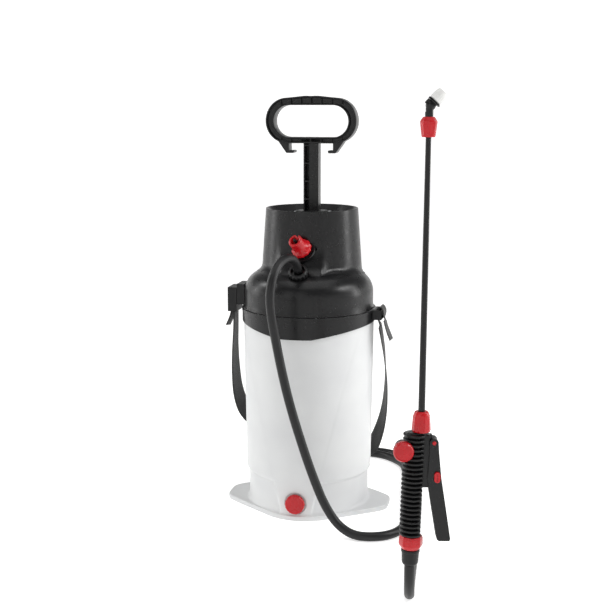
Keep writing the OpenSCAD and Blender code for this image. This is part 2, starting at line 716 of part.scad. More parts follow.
// Valve pin behind the lever, with its O-ring seal and return spring
module gun_pin() {
    color(steel) at_gun() translate([0, 0, pin_z]) rotate([0, 90, 0]) {
        translate([0, 0, -0.6]) cylinder(r = 2, h = 19);
        translate([0, 0, 7.4]) cylinder(r = 3.3, h = 1.2);
    }
}

module gun_spring() {
    color(steel) at_gun() translate([1.9, 0, pin_z]) rotate([0, 90, 0]) coil(2.85, 0.35, 5.4, 4);
}

module gun_seal() {
    color(rubber) at_gun() translate([-0.9, 0, pin_z]) rotate([0, 90, 0]) difference() {
        cylinder(r = 3.5, h = 2.2);
        translate([0, 0, -1]) cylinder(r = 2.1, h = 5);
    }
}

// Outer edge of the lever from its ears to its tip, and its inner edge back again
lever_back = [[18.4, 200], [19.2, 190], [22, 162], [27.2, 130], [33.2, 92], [32.4, 89.4]];
lever_front = [[20.6, 89.4], [18.4, 91.4], [11.8, 130], [7, 160], [8.6, 186], [8.9, 201]];

module lever_side() {
    polygon(concat(lever_back, lever_front));
    translate(lever_pivot) circle(r = 4.8);
}

module lever_web() {
    polygon(concat([for (p = lever_back) if (p[1] < 191) p], [[20.6, 89.4], [18.4, 91.4], [18.9, 91.8], [31, 91.8]],
        [for (i = [4:-1:1]) lever_back[i] - [2.2, 0]]));
}

module button_outline(g) {
    for (s = [-1, 1]) translate([0, s * 2.6]) circle(r = 3.3 + g);
    square([2 * (3.3 + g), 5.2], center = true);
}

module trigger_lever() {
    half = 7.8;
    color(black) at_gun() difference() {
        rotate([90, 0, 0]) {
            for (y = [-half, half - 2.2]) translate([0, 0, y]) linear_extrude(2.2) lever_side();
            translate([0, 0, -half]) linear_extrude(2 * half) lever_web();
        }
        translate([lever_pivot[0], 10, lever_pivot[1]]) rotate([90, 0, 0]) cylinder(r = 1.5 + run_gap, h = 20);
        translate([button_at[0], 0, button_at[1]]) rotate([90, 0, 0]) linear_extrude(12) button_outline(free_gap);
    }
}

module lever_pin() {
    color(red) at_gun() translate([lever_pivot[0], 8.3, lever_pivot[1]]) rotate([90, 0, 0]) {
        cylinder(r = 1.5, h = 16.8);
        translate([0, 0, 16.2]) cylinder(r1 = 2.3, r2 = 1.7, h = 1);
    }
}

module lever_lock() {
    color(red) at_gun() translate([button_at[0], -5.2, button_at[1]]) rotate([90, 0, 0]) difference() {
        linear_extrude(3 + lock_travel) button_outline(0);
        translate([-0.7, -4, 4.6]) cube([1.4, 8, 2]);
    }
}

// Round knob on the gun's side chamber, with a knurled edge
module gun_knob() {
    color(red) at_gun() translate([knob_at[0], 0, knob_at[1]]) rotate([90, 0, 0]) difference() {
        union() {
            translate([0, 0, -3.6]) cylinder(r = 4, h = 12);
            translate([0, 0, 6.4]) cylinder(r = 10.8, h = 9.6);
            translate([0, 0, 16]) cylinder(r1 = 10.8, r2 = 9.4, h = 1.4);
            for (i = [0:19]) rotate(i * 18) translate([10.6, 0, 6.9]) cylinder(r = 0.8, h = 8.6, $fn = 16);
        }
        translate([0, 0, -5]) cylinder(r = 1.6, h = 9);
    }
}

// ---- Lance --------------------------------------------------------------------------------------

module lance_nut() {
    color(red) at_lance() difference() {
        union() {
            translate([0, 0, 212.4]) cylinder(r1 = 10, r2 = 8.6, h = 20);
            translate([0, 0, 232.4]) cylinder(r1 = 8.6, r2 = 6.8, h = 2.6);
            for (i = [0:9]) rotate(i * 36) translate([9.2, 0, 213]) rotate([0, -4, 0])
                cylinder(r = 1.1, h = 18, $fn = 16);
        }
        translate([0, 0, 200]) cylinder(r = 7.6, h = 30.4);
        translate([0, 0, 200]) cylinder(r = 4.1, h = 60);
    }
}

module lance_oring() {
    color(rubber) at_lance() translate([0, 0, 222]) rotate_extrude() translate([4.15, 0]) circle(r = 0.3, $fn = 16);
}

module lance_tube() {
    color(web) at_lance() difference() {
        translate([0, 0, 214]) cylinder(r1 = 3.8, r2 = 2.9, h = 325);
        translate([0, 0, 210]) cylinder(r = 1.7, h = 340);
    }
}

module tip_nut() {
    color(red) at_lance() difference() {
        union() {
            translate([0, 0, 532]) cylinder(r1 = 7.6, r2 = 9.4, h = 13, $fn = 8);
            translate([0, 0, 545]) cylinder(r1 = 9.4, r2 = 5.6, h = 4.4, $fn = 8);
            for (i = [0:7]) rotate(i * 45) translate([5.6, -1.7, 528.2]) cube([1.9, 3.4, 5]);
        }
        translate([0, 0, 525]) cylinder(r = 4.6, h = 18.6);
        translate([0, 0, 530]) cylinder(r = 4.3 + run_gap, h = 30);
    }
}

module lance_elbow() {
    color(black) difference() {
        union() {
            at_lance() translate([0, 0, 540.4]) cylinder(r = 4.3 - run_gap, h = 14);
            at_lance() translate([0.4, 0, 550]) cylinder(r = 4.1, h = 9);
            at_nozzle() sphere(r = 5.4);
            at_nozzle() cylinder(r = 4.6, h = 8.4);
            at_nozzle() translate([0, 0, 4.2]) cylinder(r = 7.4, h = 1.8);
            at_nozzle() translate([-6.8, -2.6, -2]) cube([4.4, 5.2, 5.6]);
        }
        at_lance() translate([0, 0, 535]) cylinder(r = 1.6, h = 26);
        at_nozzle() cylinder(r = 1.6, h = 30);
    }
}

module nozzle() {
    color(white) at_nozzle() difference() {
        union() {
            translate([0, 0, 6.4]) cylinder(r = 6.8, h = 9);
            translate([0, 0, 15.4]) cylinder(r1 = 6.8, r2 = 5.6, h = 4.2);
            for (i = [0:15]) rotate(i * 22.5) translate([6.7, 0, 6.8]) cylinder(r = 0.5, h = 8, $fn = 16);
        }
        translate([0, 0, 6]) cylinder(r = 4.6 + run_gap, h = 10.6);
        cylinder(r = 0.8, h = 40, $fn = 24);
        translate([0, 0, 18.6]) cylinder(r1 = 0.8, r2 = 2.6, h = 1.1);
    }
}

module nozzle_insert() {
    color(dark) at_nozzle() translate([0, 0, 8.7]) difference() {
        cylinder(r = 4.5, h = 5.6);
        for (a = [0, 90]) rotate(a) translate([-0.5, -4, 4.4]) cube([1, 8, 2]);
        translate([0, 0, -1]) cylinder(r = 1.2, h = 4.4, $fn = 24);
    }
}

tank();
drain_plug();
drain_washer();
cover();
collar();
pump_cylinder();
pump_gasket();
pump_nut();
rod_guide();
pump_rod();
handle();
piston();
piston_seal();
foot_valve();
outlet_spigot();
outlet_seal();
outlet_nut();
dip_tube();
strainer();
valve_body();
valve_seal();
valve_spring();
valve_stem();
valve_knob();
strap_lug_left();
strap_lug_right();
strap_buckle();
strap();
hose();
hose_barb();
hose_nut();
gun_nut();
gun_body();
gun_filter();
gun_seal();
gun_pin();
gun_spring();
trigger_lever();
lever_pin();
lever_lock();
gun_knob();
lance_nut();
lance_oring();
lance_tube();
tip_nut();
lance_elbow();
nozzle();
nozzle_insert();
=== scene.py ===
"""Looks of a hand-pumped compression sprayer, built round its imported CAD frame.

Shapes are worked out in millimetres, each in the frame of the sub-assembly it belongs to, and are
placed in metres. +Z is up, the front faces -Y, and the tank stands on z = 0.
"""

import json

import bpy
import numpy as np
from mathutils import Matrix, Vector


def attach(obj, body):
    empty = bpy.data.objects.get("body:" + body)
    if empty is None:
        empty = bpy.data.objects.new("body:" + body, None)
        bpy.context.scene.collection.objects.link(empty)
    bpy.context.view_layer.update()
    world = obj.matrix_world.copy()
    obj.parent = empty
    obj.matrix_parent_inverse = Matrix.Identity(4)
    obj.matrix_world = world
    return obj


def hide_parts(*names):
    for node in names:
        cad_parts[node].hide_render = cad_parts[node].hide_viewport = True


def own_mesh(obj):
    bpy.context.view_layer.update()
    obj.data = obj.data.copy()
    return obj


MM = 0.001
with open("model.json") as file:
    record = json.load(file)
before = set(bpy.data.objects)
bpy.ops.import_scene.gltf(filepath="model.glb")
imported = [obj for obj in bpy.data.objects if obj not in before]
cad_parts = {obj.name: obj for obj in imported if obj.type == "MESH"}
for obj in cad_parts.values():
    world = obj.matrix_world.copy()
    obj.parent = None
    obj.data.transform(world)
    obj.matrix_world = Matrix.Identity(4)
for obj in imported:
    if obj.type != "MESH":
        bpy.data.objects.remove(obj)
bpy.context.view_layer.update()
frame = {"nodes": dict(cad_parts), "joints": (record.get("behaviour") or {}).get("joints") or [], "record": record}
NODES = frame["nodes"]
JOINTS = {j["name"]: j for j in frame["joints"]}

# ---- Camera --------------------------------------------------------------------------------------

CAMERA_TURN = 12.5      # degrees round the tank, towards the lance
CAMERA_PITCH = 10.17    # degrees down
CAMERA_AWAY = 1570      # mm from the tank's axis, on the level
CAMERA_HIGH = 566
CAMERA_SIDE = 5.6       # the axis stands this far to the right of the view's middle
LENS, SENSOR = 67.3, 36     # mm


def linked(name, data):
    """A new object in the scene that holds the data."""
    made = bpy.data.objects.new(name, data)
    bpy.context.scene.collection.objects.link(made)
    return made


def make_camera():
    """A level camera turned round the tank, then pitched down."""
    bearing, pitch = np.radians([CAMERA_TURN, CAMERA_PITCH])
    ahead = Vector((-np.sin(bearing), np.cos(bearing), 0))
    right = Vector((np.cos(bearing), np.sin(bearing), 0))
    camera = linked("camera", bpy.data.cameras.new("camera"))
    camera.location = (-ahead * CAMERA_AWAY - right * CAMERA_SIDE + Vector((0, 0, CAMERA_HIGH))) * MM
    camera.rotation_euler = (np.pi / 2 - pitch, 0, bearing)
    camera.data.sensor_width = SENSOR
    camera.data.lens = LENS
    bpy.context.scene.camera = camera


make_camera()

# ---- Frames of the sub-assemblies ----------------------------------------------------------------


def shift(x, y, z):
    return Matrix.Translation((x, y, z))


def turn(axis, degrees):
    return Matrix.Rotation(np.radians(degrees), 4, axis)


def from_joint(name):
    """A joint's place in mm, and its axis."""
    j = JOINTS[name]
    return np.array(j.get("pos_m", (0, 0, 0))) / MM, np.array(j["axis"])


GRIP_TOP = 235          # height of the grip's upper end
GRIP_LEAN, LANCE_LEAN, NOZZLE_TILT, OUTLET_LEAN = 1.5, 0.35, 43, 40     # degrees
PIVOT_OUT = 13.6        # the lever's pivot, out from the gun's middle line
DIAL_OUT, DIAL_HIGH = 20, 193   # the dial's middle: behind the gun's middle line, and its height

pivot, pivot_axis = from_joint("trigger")
gun_turn = np.degrees(np.arctan2(-pivot_axis[0], pivot_axis[1]))
valve_aim = from_joint("relief_pull")[1]

AT_PUMP = shift(0, from_joint("pump_turn")[0][1], 0)
AT_DRAIN = shift(0, 0, from_joint("drain_turn")[0][2]) @ turn("X", 90)
AT_OUTLET = shift(0, -71, 344) @ turn("X", OUTLET_LEAN)
AT_VALVE = (shift(3, -50, 367) @ turn("Z", np.degrees(np.arctan2(valve_aim[1], valve_aim[0])))
            @ turn("Y", np.degrees(np.arccos(valve_aim[2]))))
AT_GUN = shift(pivot[0], pivot[1], 0) @ turn("Z", gun_turn) @ shift(-PIVOT_OUT, 0, 0)
AT_GRIP = AT_GUN @ shift(-5.5, 0, GRIP_TOP) @ turn("Y", GRIP_LEAN)
AT_LANCE = AT_GUN @ shift(0, 0, GRIP_TOP) @ turn("Y", LANCE_LEAN) @ shift(0, 0, -GRIP_TOP)
AT_NOZZLE = AT_LANCE @ shift(1.5, 0, 561) @ turn("Y", NOZZLE_TILT)
AT_DIAL = AT_GUN @ shift(-DIAL_OUT, 0, DIAL_HIGH)

# ---- Mesh tools ----------------------------------------------------------------------------------

SHARP_EDGE = np.radians(38)     # edges turned by more than this keep their corner
SKIN_GAP = 0.02                 # keeps one skin this far from another's


def unit(v):
    return v / np.linalg.norm(v, axis=-1, keepdims=True)


def grid_faces(rows, columns, loop=False):
    """Quads over a grid whose columns join round, and whose rows do too where loop is set."""
    i = np.arange(rows if loop else rows - 1)[:, None]
    j = np.arange(columns)[None, :]
    after, beside = (i + 1) % rows * columns, (j + 1) % columns
    quads = np.stack([i * columns + j, i * columns + beside, after + beside, after + j], -1)
    return quads.reshape(-1, 4).tolist()


def capped(grid):
    """A grid of points (rows, columns, 3) as a closed solid: its first and last rows are filled, each
    from a point at the row's middle."""
    rows, columns = grid.shape[:2]
    points = np.concatenate([grid.reshape(-1, 3), grid[:1].mean(1), grid[-1:].mean(1)])
    foot, head = rows * columns, rows * columns + 1
    j = np.arange(columns)
    beside, last = (j + 1) % columns, (rows - 1) * columns
    fans = np.concatenate([np.stack([j * 0 + foot, beside, j], -1),
                           np.stack([j * 0 + head, last + j, last + beside], -1)])
    return points, grid_faces(rows, columns) + fans.tolist()


def looped(grid):
    """A grid of points that joins up in both directions, such as a ring."""
    return grid.reshape(-1, 3), grid_faces(grid.shape[0], grid.shape[1], True)


def rounded(corners, steps=5):
    """Line through (x, y, rounding) corners: each is cut back by its rounding along both sides, and a
    quadratic curve with the corner as its handle joins the two cuts."""
    corners = np.array(corners, float)
    line = [corners[:1, :2]]
    for before, here, after in zip(corners[:-2], corners[1:-1], corners[2:]):
        to, on = before[:2] - here[:2], after[:2] - here[:2]
        reach = min(here[2], 0.48 * np.linalg.norm(to), 0.48 * np.linalg.norm(on))
        start, end = here[:2] + unit(to) * reach, here[:2] + unit(on) * reach
        t = np.linspace(0, 1, steps if reach > 0 else 1)[:, None]
        line.append((1 - t) ** 2 * start + 2 * t * (1 - t) * here[:2] + t ** 2 * end)
    line.append(corners[-1:, :2])
    return np.concatenate(line)


def turned(corners, around=96, shape=None, closed=True):
    """Surface of revolution about Z: the rounded outline (radius, height) carried round the axis.
    shape(angle, radius, height) may change each point's radius, for ribs, flats and flutes."""
    line = rounded(corners)
    angle = np.linspace(0, 2 * np.pi, around, endpoint=False)[None, :]
    radius, height = line[:, :1] + 0 * angle, line[:, 1:] + 0 * angle
    if shape:
        radius = shape(angle + 0 * radius, radius, height)
    grid = np.stack([radius * np.cos(angle), radius * np.sin(angle), height], -1)
    return capped(grid) if closed else looped(grid)


def box(low, high, soft=0.6):
    """Block with rounded edges: a superellipse section in X and Y, drawn in at the top and bottom."""
    low, high = np.array(low, float), np.array(high, float)
    middle, half = (low + high) / 2, (high - low) / 2
    around = 64
    angle = (np.arange(around) + 0.5) / around * 2 * np.pi
    across, along = np.cos(angle), np.sin(angle)
    edge = np.maximum(np.abs(across) * half[1], np.abs(along) * half[0])
    flat = np.stack([across, along], -1) * (half[0] * half[1] / edge)[:, None]
    inner = half[:2] - soft
    core = np.clip(flat, -inner, inner)
    over = flat - core
    flat = core + over * (soft / np.maximum(np.linalg.norm(over, axis=-1), soft))[:, None]
    tilt = np.linspace(0, np.pi / 2, 5)
    draw = np.concatenate([soft * (1 - np.sin(tilt)), soft * (1 - np.cos(tilt))])
    height = np.concatenate([-half[2] + soft * (1 - np.cos(tilt)), half[2] - soft * (1 - np.sin(tilt))])
    share = (half[:2] - draw[:, None]) / half[:2]
    grid = np.zeros((len(draw), len(angle), 3))
    grid[..., :2] = flat[None] * share[:, None, :]
    grid[..., 2] = height[:, None]
    return capped(grid + middle)


def placed(at, part):
    """A (points, faces) part, moved from the frame at into the sprayer's."""
    place = np.array(at)
    return part[0] @ place[:3, :3].T + place[:3, 3], part[1]


def joined(name, parts):
    """One mesh from several (points, faces) parts in mm."""
    points = np.concatenate([part[0] for part in parts])
    starts = np.cumsum([0] + [len(part[0]) for part in parts])
    faces = [[first + k for k in face] for first, part in zip(starts, parts) for face in part[1]]
    mesh = bpy.data.meshes.new(name)
    mesh.from_pydata((points * MM).tolist(), [], faces)
    mesh.update()
    return mesh


def soften(mesh):
    """Smooth shading with the sharp edges kept."""
    mesh.shade_smooth()
    mesh.set_sharp_from_angle(angle=SHARP_EDGE)


def make(name, parts, body, slot, nodes=(), uv=None):
    """One object from several (points, faces) parts in mm. It rides on body, wears the slot's finish
    and stands for the CAD nodes."""
    mesh = joined(name, parts)
    if uv is not None:
        corner = np.zeros(len(mesh.loops), np.int32)
        mesh.loops.foreach_get("vertex_index", corner)
        layer = mesh.uv_layers.new(name="along")
        layer.data.foreach_set("uv", uv[corner].astype(np.float32).ravel())
    soften(mesh)
    mesh.materials.append(FINISHES[slot])
    piece = linked(name, mesh)
    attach(piece, body)
    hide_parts(*nodes)
    return piece


def cut(piece, parts):
    """Takes closed parts out of a piece."""
    cutter = linked("cutter", joined("cutter", parts))
    change = piece.modifiers.new("cut", "BOOLEAN")
    change.operation = "DIFFERENCE"
    change.solver = "MANIFOLD"
    change.object = cutter
    graph = bpy.context.evaluated_depsgraph_get()
    shaped = bpy.data.meshes.new_from_object(piece.evaluated_get(graph))
    piece.modifiers.clear()
    piece.data = shaped
    bpy.data.objects.remove(cutter)
    soften(shaped)


# ---- Materials -----------------------------------------------------------------------------------


def colour(text):
    """sRGB hex as linear RGBA."""
    value = np.array([int(text[i:i + 2], 16) for i in (1, 3, 5)]) / 255
    linear = np.where(value <= 0.04045, value / 12.92, ((value + 0.055) / 1.055) ** 2.4)
    return (*linear, 1)


def give(tree, node, inputs):
    """Sets a node's inputs. Each is a value, or another node's output to link."""
    for name, value in inputs.items():
        if isinstance(value, bpy.types.NodeSocket):
            tree.links.new(value, node.inputs[name])
        else:
            node.inputs[name].default_value = value


def add(tree, kind, inputs=None, **settings):
    """Adds a node with its settings and inputs."""
    made = tree.nodes.new(kind)
    for name, value in settings.items():
        setattr(made, name, value)
    give(tree, made, inputs or {})
    return made


def start(name):
    """An empty material with its output, its shader and the object's own coordinates."""
    material = bpy.data.materials.new(name)
    material.use_nodes = True
    tree = material.node_tree
    tree.nodes.clear()
    shader = add(tree, "ShaderNodeBsdfPrincipled")
    add(tree, "ShaderNodeOutputMaterial", {"Surface": shader.outputs[0]})
    place = add(tree, "ShaderNodeTexCoord").outputs["Object"]
    return material, tree, shader, place


def blots(place, size, detail=2.0):
    """Inputs of a noise whose blots are about size mm across."""
    return {"Vector": place, "Scale": 1 / (size * MM), "Detail": detail}


def middle_range(value, low, high):
    """Inputs that carry a noise's middle range onto low to high."""
    return {"Value": value, "From Min": 0.3, "From Max": 0.7, "To Min": low, "To Max": high}


def mottle(tree, place, size, low, high):
    """An unevenness between low and high, in blots about size mm across."""
    uneven = add(tree, "ShaderNodeTexNoise", blots(place, size)).outputs[0]
    return add(tree, "ShaderNodeMapRange", middle_range(uneven, low, high)).outputs[0]


def moulded(name, tint, deep, rough, coat=0.0, shine=0.3):
    """Injection-moulded plastic. Slow noise 40 mm across gives the slight unevenness of colour and
    gloss of a large moulding, and noise 0.6 mm across the faint orange peel of its skin. Both are
    drawn a little coarser than real so that they show. Normals rounded over 0.35 mm soften the
    moulding's edges."""
    material, tree, shader, place = start(name)
    tone = add(tree, "ShaderNodeMix", {"Factor": mottle(tree, place, 40, 0, 1),
                                       "A": colour(tint), "B": colour(deep)}, data_type="RGBA")
    soft = add(tree, "ShaderNodeBevel", {"Radius": 0.35 * MM}, samples=4)
    peel = add(tree, "ShaderNodeTexNoise", blots(place, 0.6))
    bump = add(tree, "ShaderNodeBump", {"Strength": 0.5, "Distance": 0.012 * MM,
                                        "Height": peel.outputs[0], "Normal": soft.outputs[0]})
    give(tree, shader, {"Base Color": tone.outputs["Result"],
                        "Roughness": mottle(tree, place, 7, rough - 0.04, rough + 0.05),
                        "Normal": bump.outputs[0], "IOR": 1.49,
                        "Specular IOR Level": shine, "Coat Weight": coat})
    return material


# ABS housings, spark-eroded to a soft black sheen
black_abs = moulded("black_moulded_abs", "#131314", "#101011", 0.3)
# Nylon and acetal small parts, a shade darker and duller
dark_nylon = moulded("dark_moulded_nylon", "#111112", "#0d0d0e", 0.42)
# Grey polypropylene of the pump's cap nut
grey_polypropylene = moulded("grey_moulded_polypropylene", "#77787a", "#6b6c6e", 0.4)
# White acetal of the nozzle and the pump's barrel
white_acetal = moulded("white_moulded_acetal", "#e9e9e7", "#dddddb", 0.32, shine=0.5)
# Glossy red polypropylene of the knobs and nuts
red_polypropylene = moulded("red_gloss_polypropylene", "#b8141d", "#a80f18", 0.26, coat=0.12)
# Black glass-filled nylon of the lance, drawn smooth
lance_nylon = moulded("lance_glass_filled_nylon", "#141415", "#101011", 0.3)


def bottle_polyethylene():
    """Blow-moulded natural polyethylene: milky, lit through a few millimetres of its own depth. Its
    skin has broad soft waves 25 mm across from blowing, and a matte haze of 0.8 mm grain."""
    material, tree, shader, place = start("milky_blown_polyethylene")
    tone = add(tree, "ShaderNodeMix", {"Factor": mottle(tree, place, 60, 0, 1),
                                       "A": colour("#d2d3d3"), "B": colour("#cacbcc")}, data_type="RGBA")
    blown = add(tree, "ShaderNodeTexNoise", blots(place, 25, 1))
    waves = add(tree, "ShaderNodeBump", {"Strength": 0.25, "Distance": 0.25 * MM, "Height": blown.outputs[0]})
    haze = add(tree, "ShaderNodeTexNoise", blots(place, 0.8))
    grain = add(tree, "ShaderNodeBump", {"Strength": 0.4, "Distance": 0.012 * MM,
                                         "Height": haze.outputs[0], "Normal": waves.outputs[0]})
    give(tree, shader, {"Base Color": tone.outputs["Result"],
                        "Roughness": mottle(tree, place, 12, 0.36, 0.46),
                        "Normal": grain.outputs[0], "IOR": 1.5, "Subsurface Weight": 0.35,
                        "Subsurface Radius": (1, 1, 1), "Subsurface Scale": 4 * MM})
    return material


def soft_rubber():
    """Moulded nitrile rubber: matte black, with a fine 0.5 mm bloom."""
    material, tree, shader, place = start("black_nitrile_rubber")
    give(tree, shader, {"Base Color": colour("#161616"), "Roughness": mottle(tree, place, 0.5, 0.6, 0.8)})
    return material


def drawn_steel():
    """Bright drawn spring wire: fine 0.3 mm streaks of roughness."""
    material, tree, shader, place = start("drawn_stainless_wire")
    give(tree, shader, {"Base Color": colour("#c4c4c0"), "Metallic": 1.0,
                        "Roughness": mottle(tree, place, 0.3, 0.2, 0.36)})
    return material


def hose_vinyl():
    """Extruded soft vinyl hose. Its UV runs round (0 to 1) and along (metres). Some thirty faint lines
    round it are left by the die, broken every 250 mm or so along it. Its tone drifts over 30 mm."""
    material, tree, shader, place = start("extruded_black_vinyl")
    along = add(tree, "ShaderNodeUVMap", uv_map="along").outputs[0]
    lines = add(tree, "ShaderNodeMapping", {"Vector": along, "Scale": (30, 4, 1)}).outputs[0]
    die = add(tree, "ShaderNodeTexNoise", {"Vector": lines, "Scale": 1.0, "Detail": 1.0}).outputs[0]
    tone = add(tree, "ShaderNodeMix", {"Factor": mottle(tree, place, 30, 0, 1),
                                       "A": colour("#171718"), "B": colour("#121213")}, data_type="RGBA")
    gloss = add(tree, "ShaderNodeMapRange", middle_range(die, 0.34, 0.5))
    bump = add(tree, "ShaderNodeBump", {"Strength": 0.3, "Distance": 0.05 * MM, "Height": die})
    give(tree, shader, {"Base Color": tone.outputs["Result"], "Roughness": gloss.outputs[0],
                        "Normal": bump.outputs[0], "IOR": 1.52, "Specular IOR Level": 0.3})
    return material


def strap_webbing():
    """Woven polypropylene webbing. Its UV is in millimetres, across and along. Warp ribs stand 2.1 mm
    apart across the band and weft picks 1.4 mm along it, drawn coarser than real so that they show.
    Its colour follows the weave's height: painted shade, darker in the hollows between threads and
    lighter on their tops."""
    material, tree, shader = start("woven_black_webbing")[:3]
    band = add(tree, "ShaderNodeUVMap", uv_map="along").outputs[0]
    ways = add(tree, "ShaderNodeSeparateXYZ", {"Vector": band})
    threads = []
    for way, pitch in ((0, 2.1), (1, 1.4)):
        turns = add(tree, "ShaderNodeMath", {0: ways.outputs[way], 1: 2 * np.pi / pitch},
                    operation="MULTIPLY").outputs[0]
        threads.append(add(tree, "ShaderNodeMath", {0: turns}, operation="SINE").outputs[0])
    weave = add(tree, "ShaderNodeMath", {0: threads[0], 1: threads[1]}, operation="MULTIPLY").outputs[0]
    lift = add(tree, "ShaderNodeMapRange", {"Value": weave, "From Min": -1.0, "From Max": 1.0}).outputs[0]
    # Painted shade: the colour is darker where the weave dips and lighter where it rises
    tone = add(tree, "ShaderNodeMix", {"Factor": lift, "A": colour("#0c0c0c"), "B": colour("#1c1c1d")},
               data_type="RGBA")
    bump = add(tree, "ShaderNodeBump", {"Strength": 0.6, "Distance": 0.25 * MM, "Height": lift})
    give(tree, shader, {"Base Color": tone.outputs["Result"], "Normal": bump.outputs[0],
                        "Roughness": 0.62, "Specular IOR Level": 0.3, "Sheen Weight": 0.15})
    return material


FINISHES = {
    "tank_plastic": bottle_polyethylene(),
    "black_plastic": black_abs,
    "dark_plastic": dark_nylon,
    "grey_plastic": grey_polypropylene,
    "white_plastic": white_acetal,
    "red_plastic": red_polypropylene,
    "seal_rubber": soft_rubber(),
    "hose_pvc": hose_vinyl(),
    "lance_plastic": lance_nylon,
    "webbing": strap_webbing(),
    "spring_steel": drawn_steel(),
}

for entry in frame["record"]["subparts"]:
    cad_mesh = NODES[entry["node"]].data
    cad_mesh.materials.clear()
    cad_mesh.materials.append(FINISHES[entry["material_slot"]])

# ---- Hose ----------------------------------------------------------------------------------------

HOSE_WIDE, HOSE_SIDES = 12, 20
FLOOR = 6               # height of the hose's middle where it lies on the floor
HOSE_ROUTE = [
    [0, -71.4, 344.5], [0, -77, 351], [-2, -92, 361], [-7, -113, 364], [-12, -133, 357],
    [-16, -148, 340], [-17, -154, 315], [-12, -150, 270], [3, -143, 190], [24, -138, 115],
    [43, -134, 60], [55, -133, 35], [68, -134.5, 18.5], [83, -137, 9], [99, -139.5, FLOOR],
    [115, -138, FLOOR], [131, -130, FLOOR], [143, -115, FLOOR], [149, -95, FLOOR], [148, -60, FLOOR],
    [140, 10, FLOOR], [128, 100, FLOOR], [115, 165, FLOOR], [96, 194, FLOOR], [72, 212, FLOOR],
    [44, 216, FLOOR], [12, 203, FLOOR], [-24, 178, FLOOR], [-63, 172, FLOOR], [-95, 196, FLOOR],
    [-100, 235, FLOOR], [-76, 267, FLOOR], [-36, 272, FLOOR], [12, 248, FLOOR], [56, 231, FLOOR],
    [90, 220, FLOOR], [118, 184, FLOOR], [142, 113, FLOOR], [166, -90, FLOOR], [183, -292, FLOOR],
    [185.5, -311, 9.8], [187.3, -327.3, 20.6], [188.5, -338.1, 36.9], [188.9, -341.6, 50.8],
    [189, -342, 59.2]]


def smooth(points, gap):
    """Curve through the points with stations about gap apart: each stretch is a cubic whose slope at a
    point is the step between the points beside it, shared out by their distances."""
    p = np.array(points, float)
    before, after = np.concatenate([p[:1], p[:-1]]), np.concatenate([p[1:], p[-1:]])
    step = np.linalg.norm(np.diff(p, axis=0), axis=1)
    lead, follow = np.concatenate([[0], step]), np.concatenate([step, [0]])
    slope = (after - before) / np.maximum(lead + follow, 1)[:, None]
    count = np.maximum(1, np.ceil(step / gap)).astype(int)
    i = np.repeat(np.arange(len(step)), count)
    t = ((np.arange(len(i)) - np.repeat(np.cumsum(count) - count, count)) / count[i])[:, None]
    s = step[i][:, None]
    line = ((2 * t ** 3 - 3 * t ** 2 + 1) * p[i] + (t ** 3 - 2 * t ** 2 + t) * s * slope[i]
            + (3 * t ** 2 - 2 * t ** 3) * p[i + 1] + (t ** 3 - t ** 2) * s * slope[i + 1])
    return np.concatenate([line, p[-1:]])


def distance_along(line):
    return np.concatenate([[0], np.cumsum(np.linalg.norm(np.diff(line, axis=0), axis=1))])


def carried(line, first):
    """Two directions square to a line at each station: first is carried along it without twist."""
    tangent = unit(np.gradient(line, axis=0))
    side = np.zeros_like(line)
    v = np.array(first, float)
    for k, t in enumerate(tangent):
        v = unit(v - (v @ t) * t)
        side[k] = v
    return side, np.cross(tangent, side)


def make_hose():
    """Round tube: a circle of the hose's width carried along the route, closed at both ends."""
    line = smooth(HOSE_ROUTE, 5)
    line[:, 2] = np.maximum(line[:, 2], FLOOR)
    side, up = carried(line, (1, 0, 0))
    angle = np.linspace(0, 2 * np.pi, HOSE_SIDES, endpoint=False)[None, :, None]
    radius = HOSE_WIDE / 2 - SKIN_GAP
    grid = line[:, None] + radius * (np.cos(angle) * side[:, None] + np.sin(angle) * up[:, None])
    along = distance_along(line)
    share = np.arange(HOSE_SIDES)[None, :] / HOSE_SIDES
    uv = np.stack(np.broadcast_arrays(share, along[:, None] * MM), -1).reshape(-1, 2)
    uv = np.concatenate([uv, uv[:1], uv[-1:]])
    piece = make("sprayer_hose", [capped(grid)], "root", "hose_pvc", ["hose"], uv)


make_hose()

# ---- Strap ---------------------------------------------------------------------------------------

STRAP_WIDE, STRAP_THICK = 25, 1.6
LUG_BAR = np.array([103, 0, 280])       # the right lug's bar
BUCKLE_FOLD = np.array([-108, 0, 286])  # the fold inside the buckle
FOLD_TOP = np.array([-108, 0, 289])     # where the band turns over in the buckle
TAIL_OUT = 107.5                        # the free end at the lug hangs further out than this
STRAP_ROUTE = [
    [117, -3, 241], [111, -2, 256], [107, 0, 270], [107, 0, 281], [103, 0, 287.4], [98.9, 0, 281],
    [99.4, 1, 266], [102.5, 5, 245], [105.5, 14, 215], [105.5, 32, 170], [99.5, 53, 122], [88, 74, 82],
    [75, 90, 58], [48, 104, 46], [15, 110, 45], [-20, 111, 52], [-52, 107, 63], [-80, 97, 76],
    [-101, 83, 91], [-113, 64, 113], [-117, 46, 143], [-115.5, 29, 180], [-112, 15, 215],
    [-108, 5, 246], [-106, 0, 272], [-106, 0, 286], [-108, 0, 289], [-110, 0, 286], [-110, 0, 273],
    [-112, -1, 264], [-117, -3, 252]]


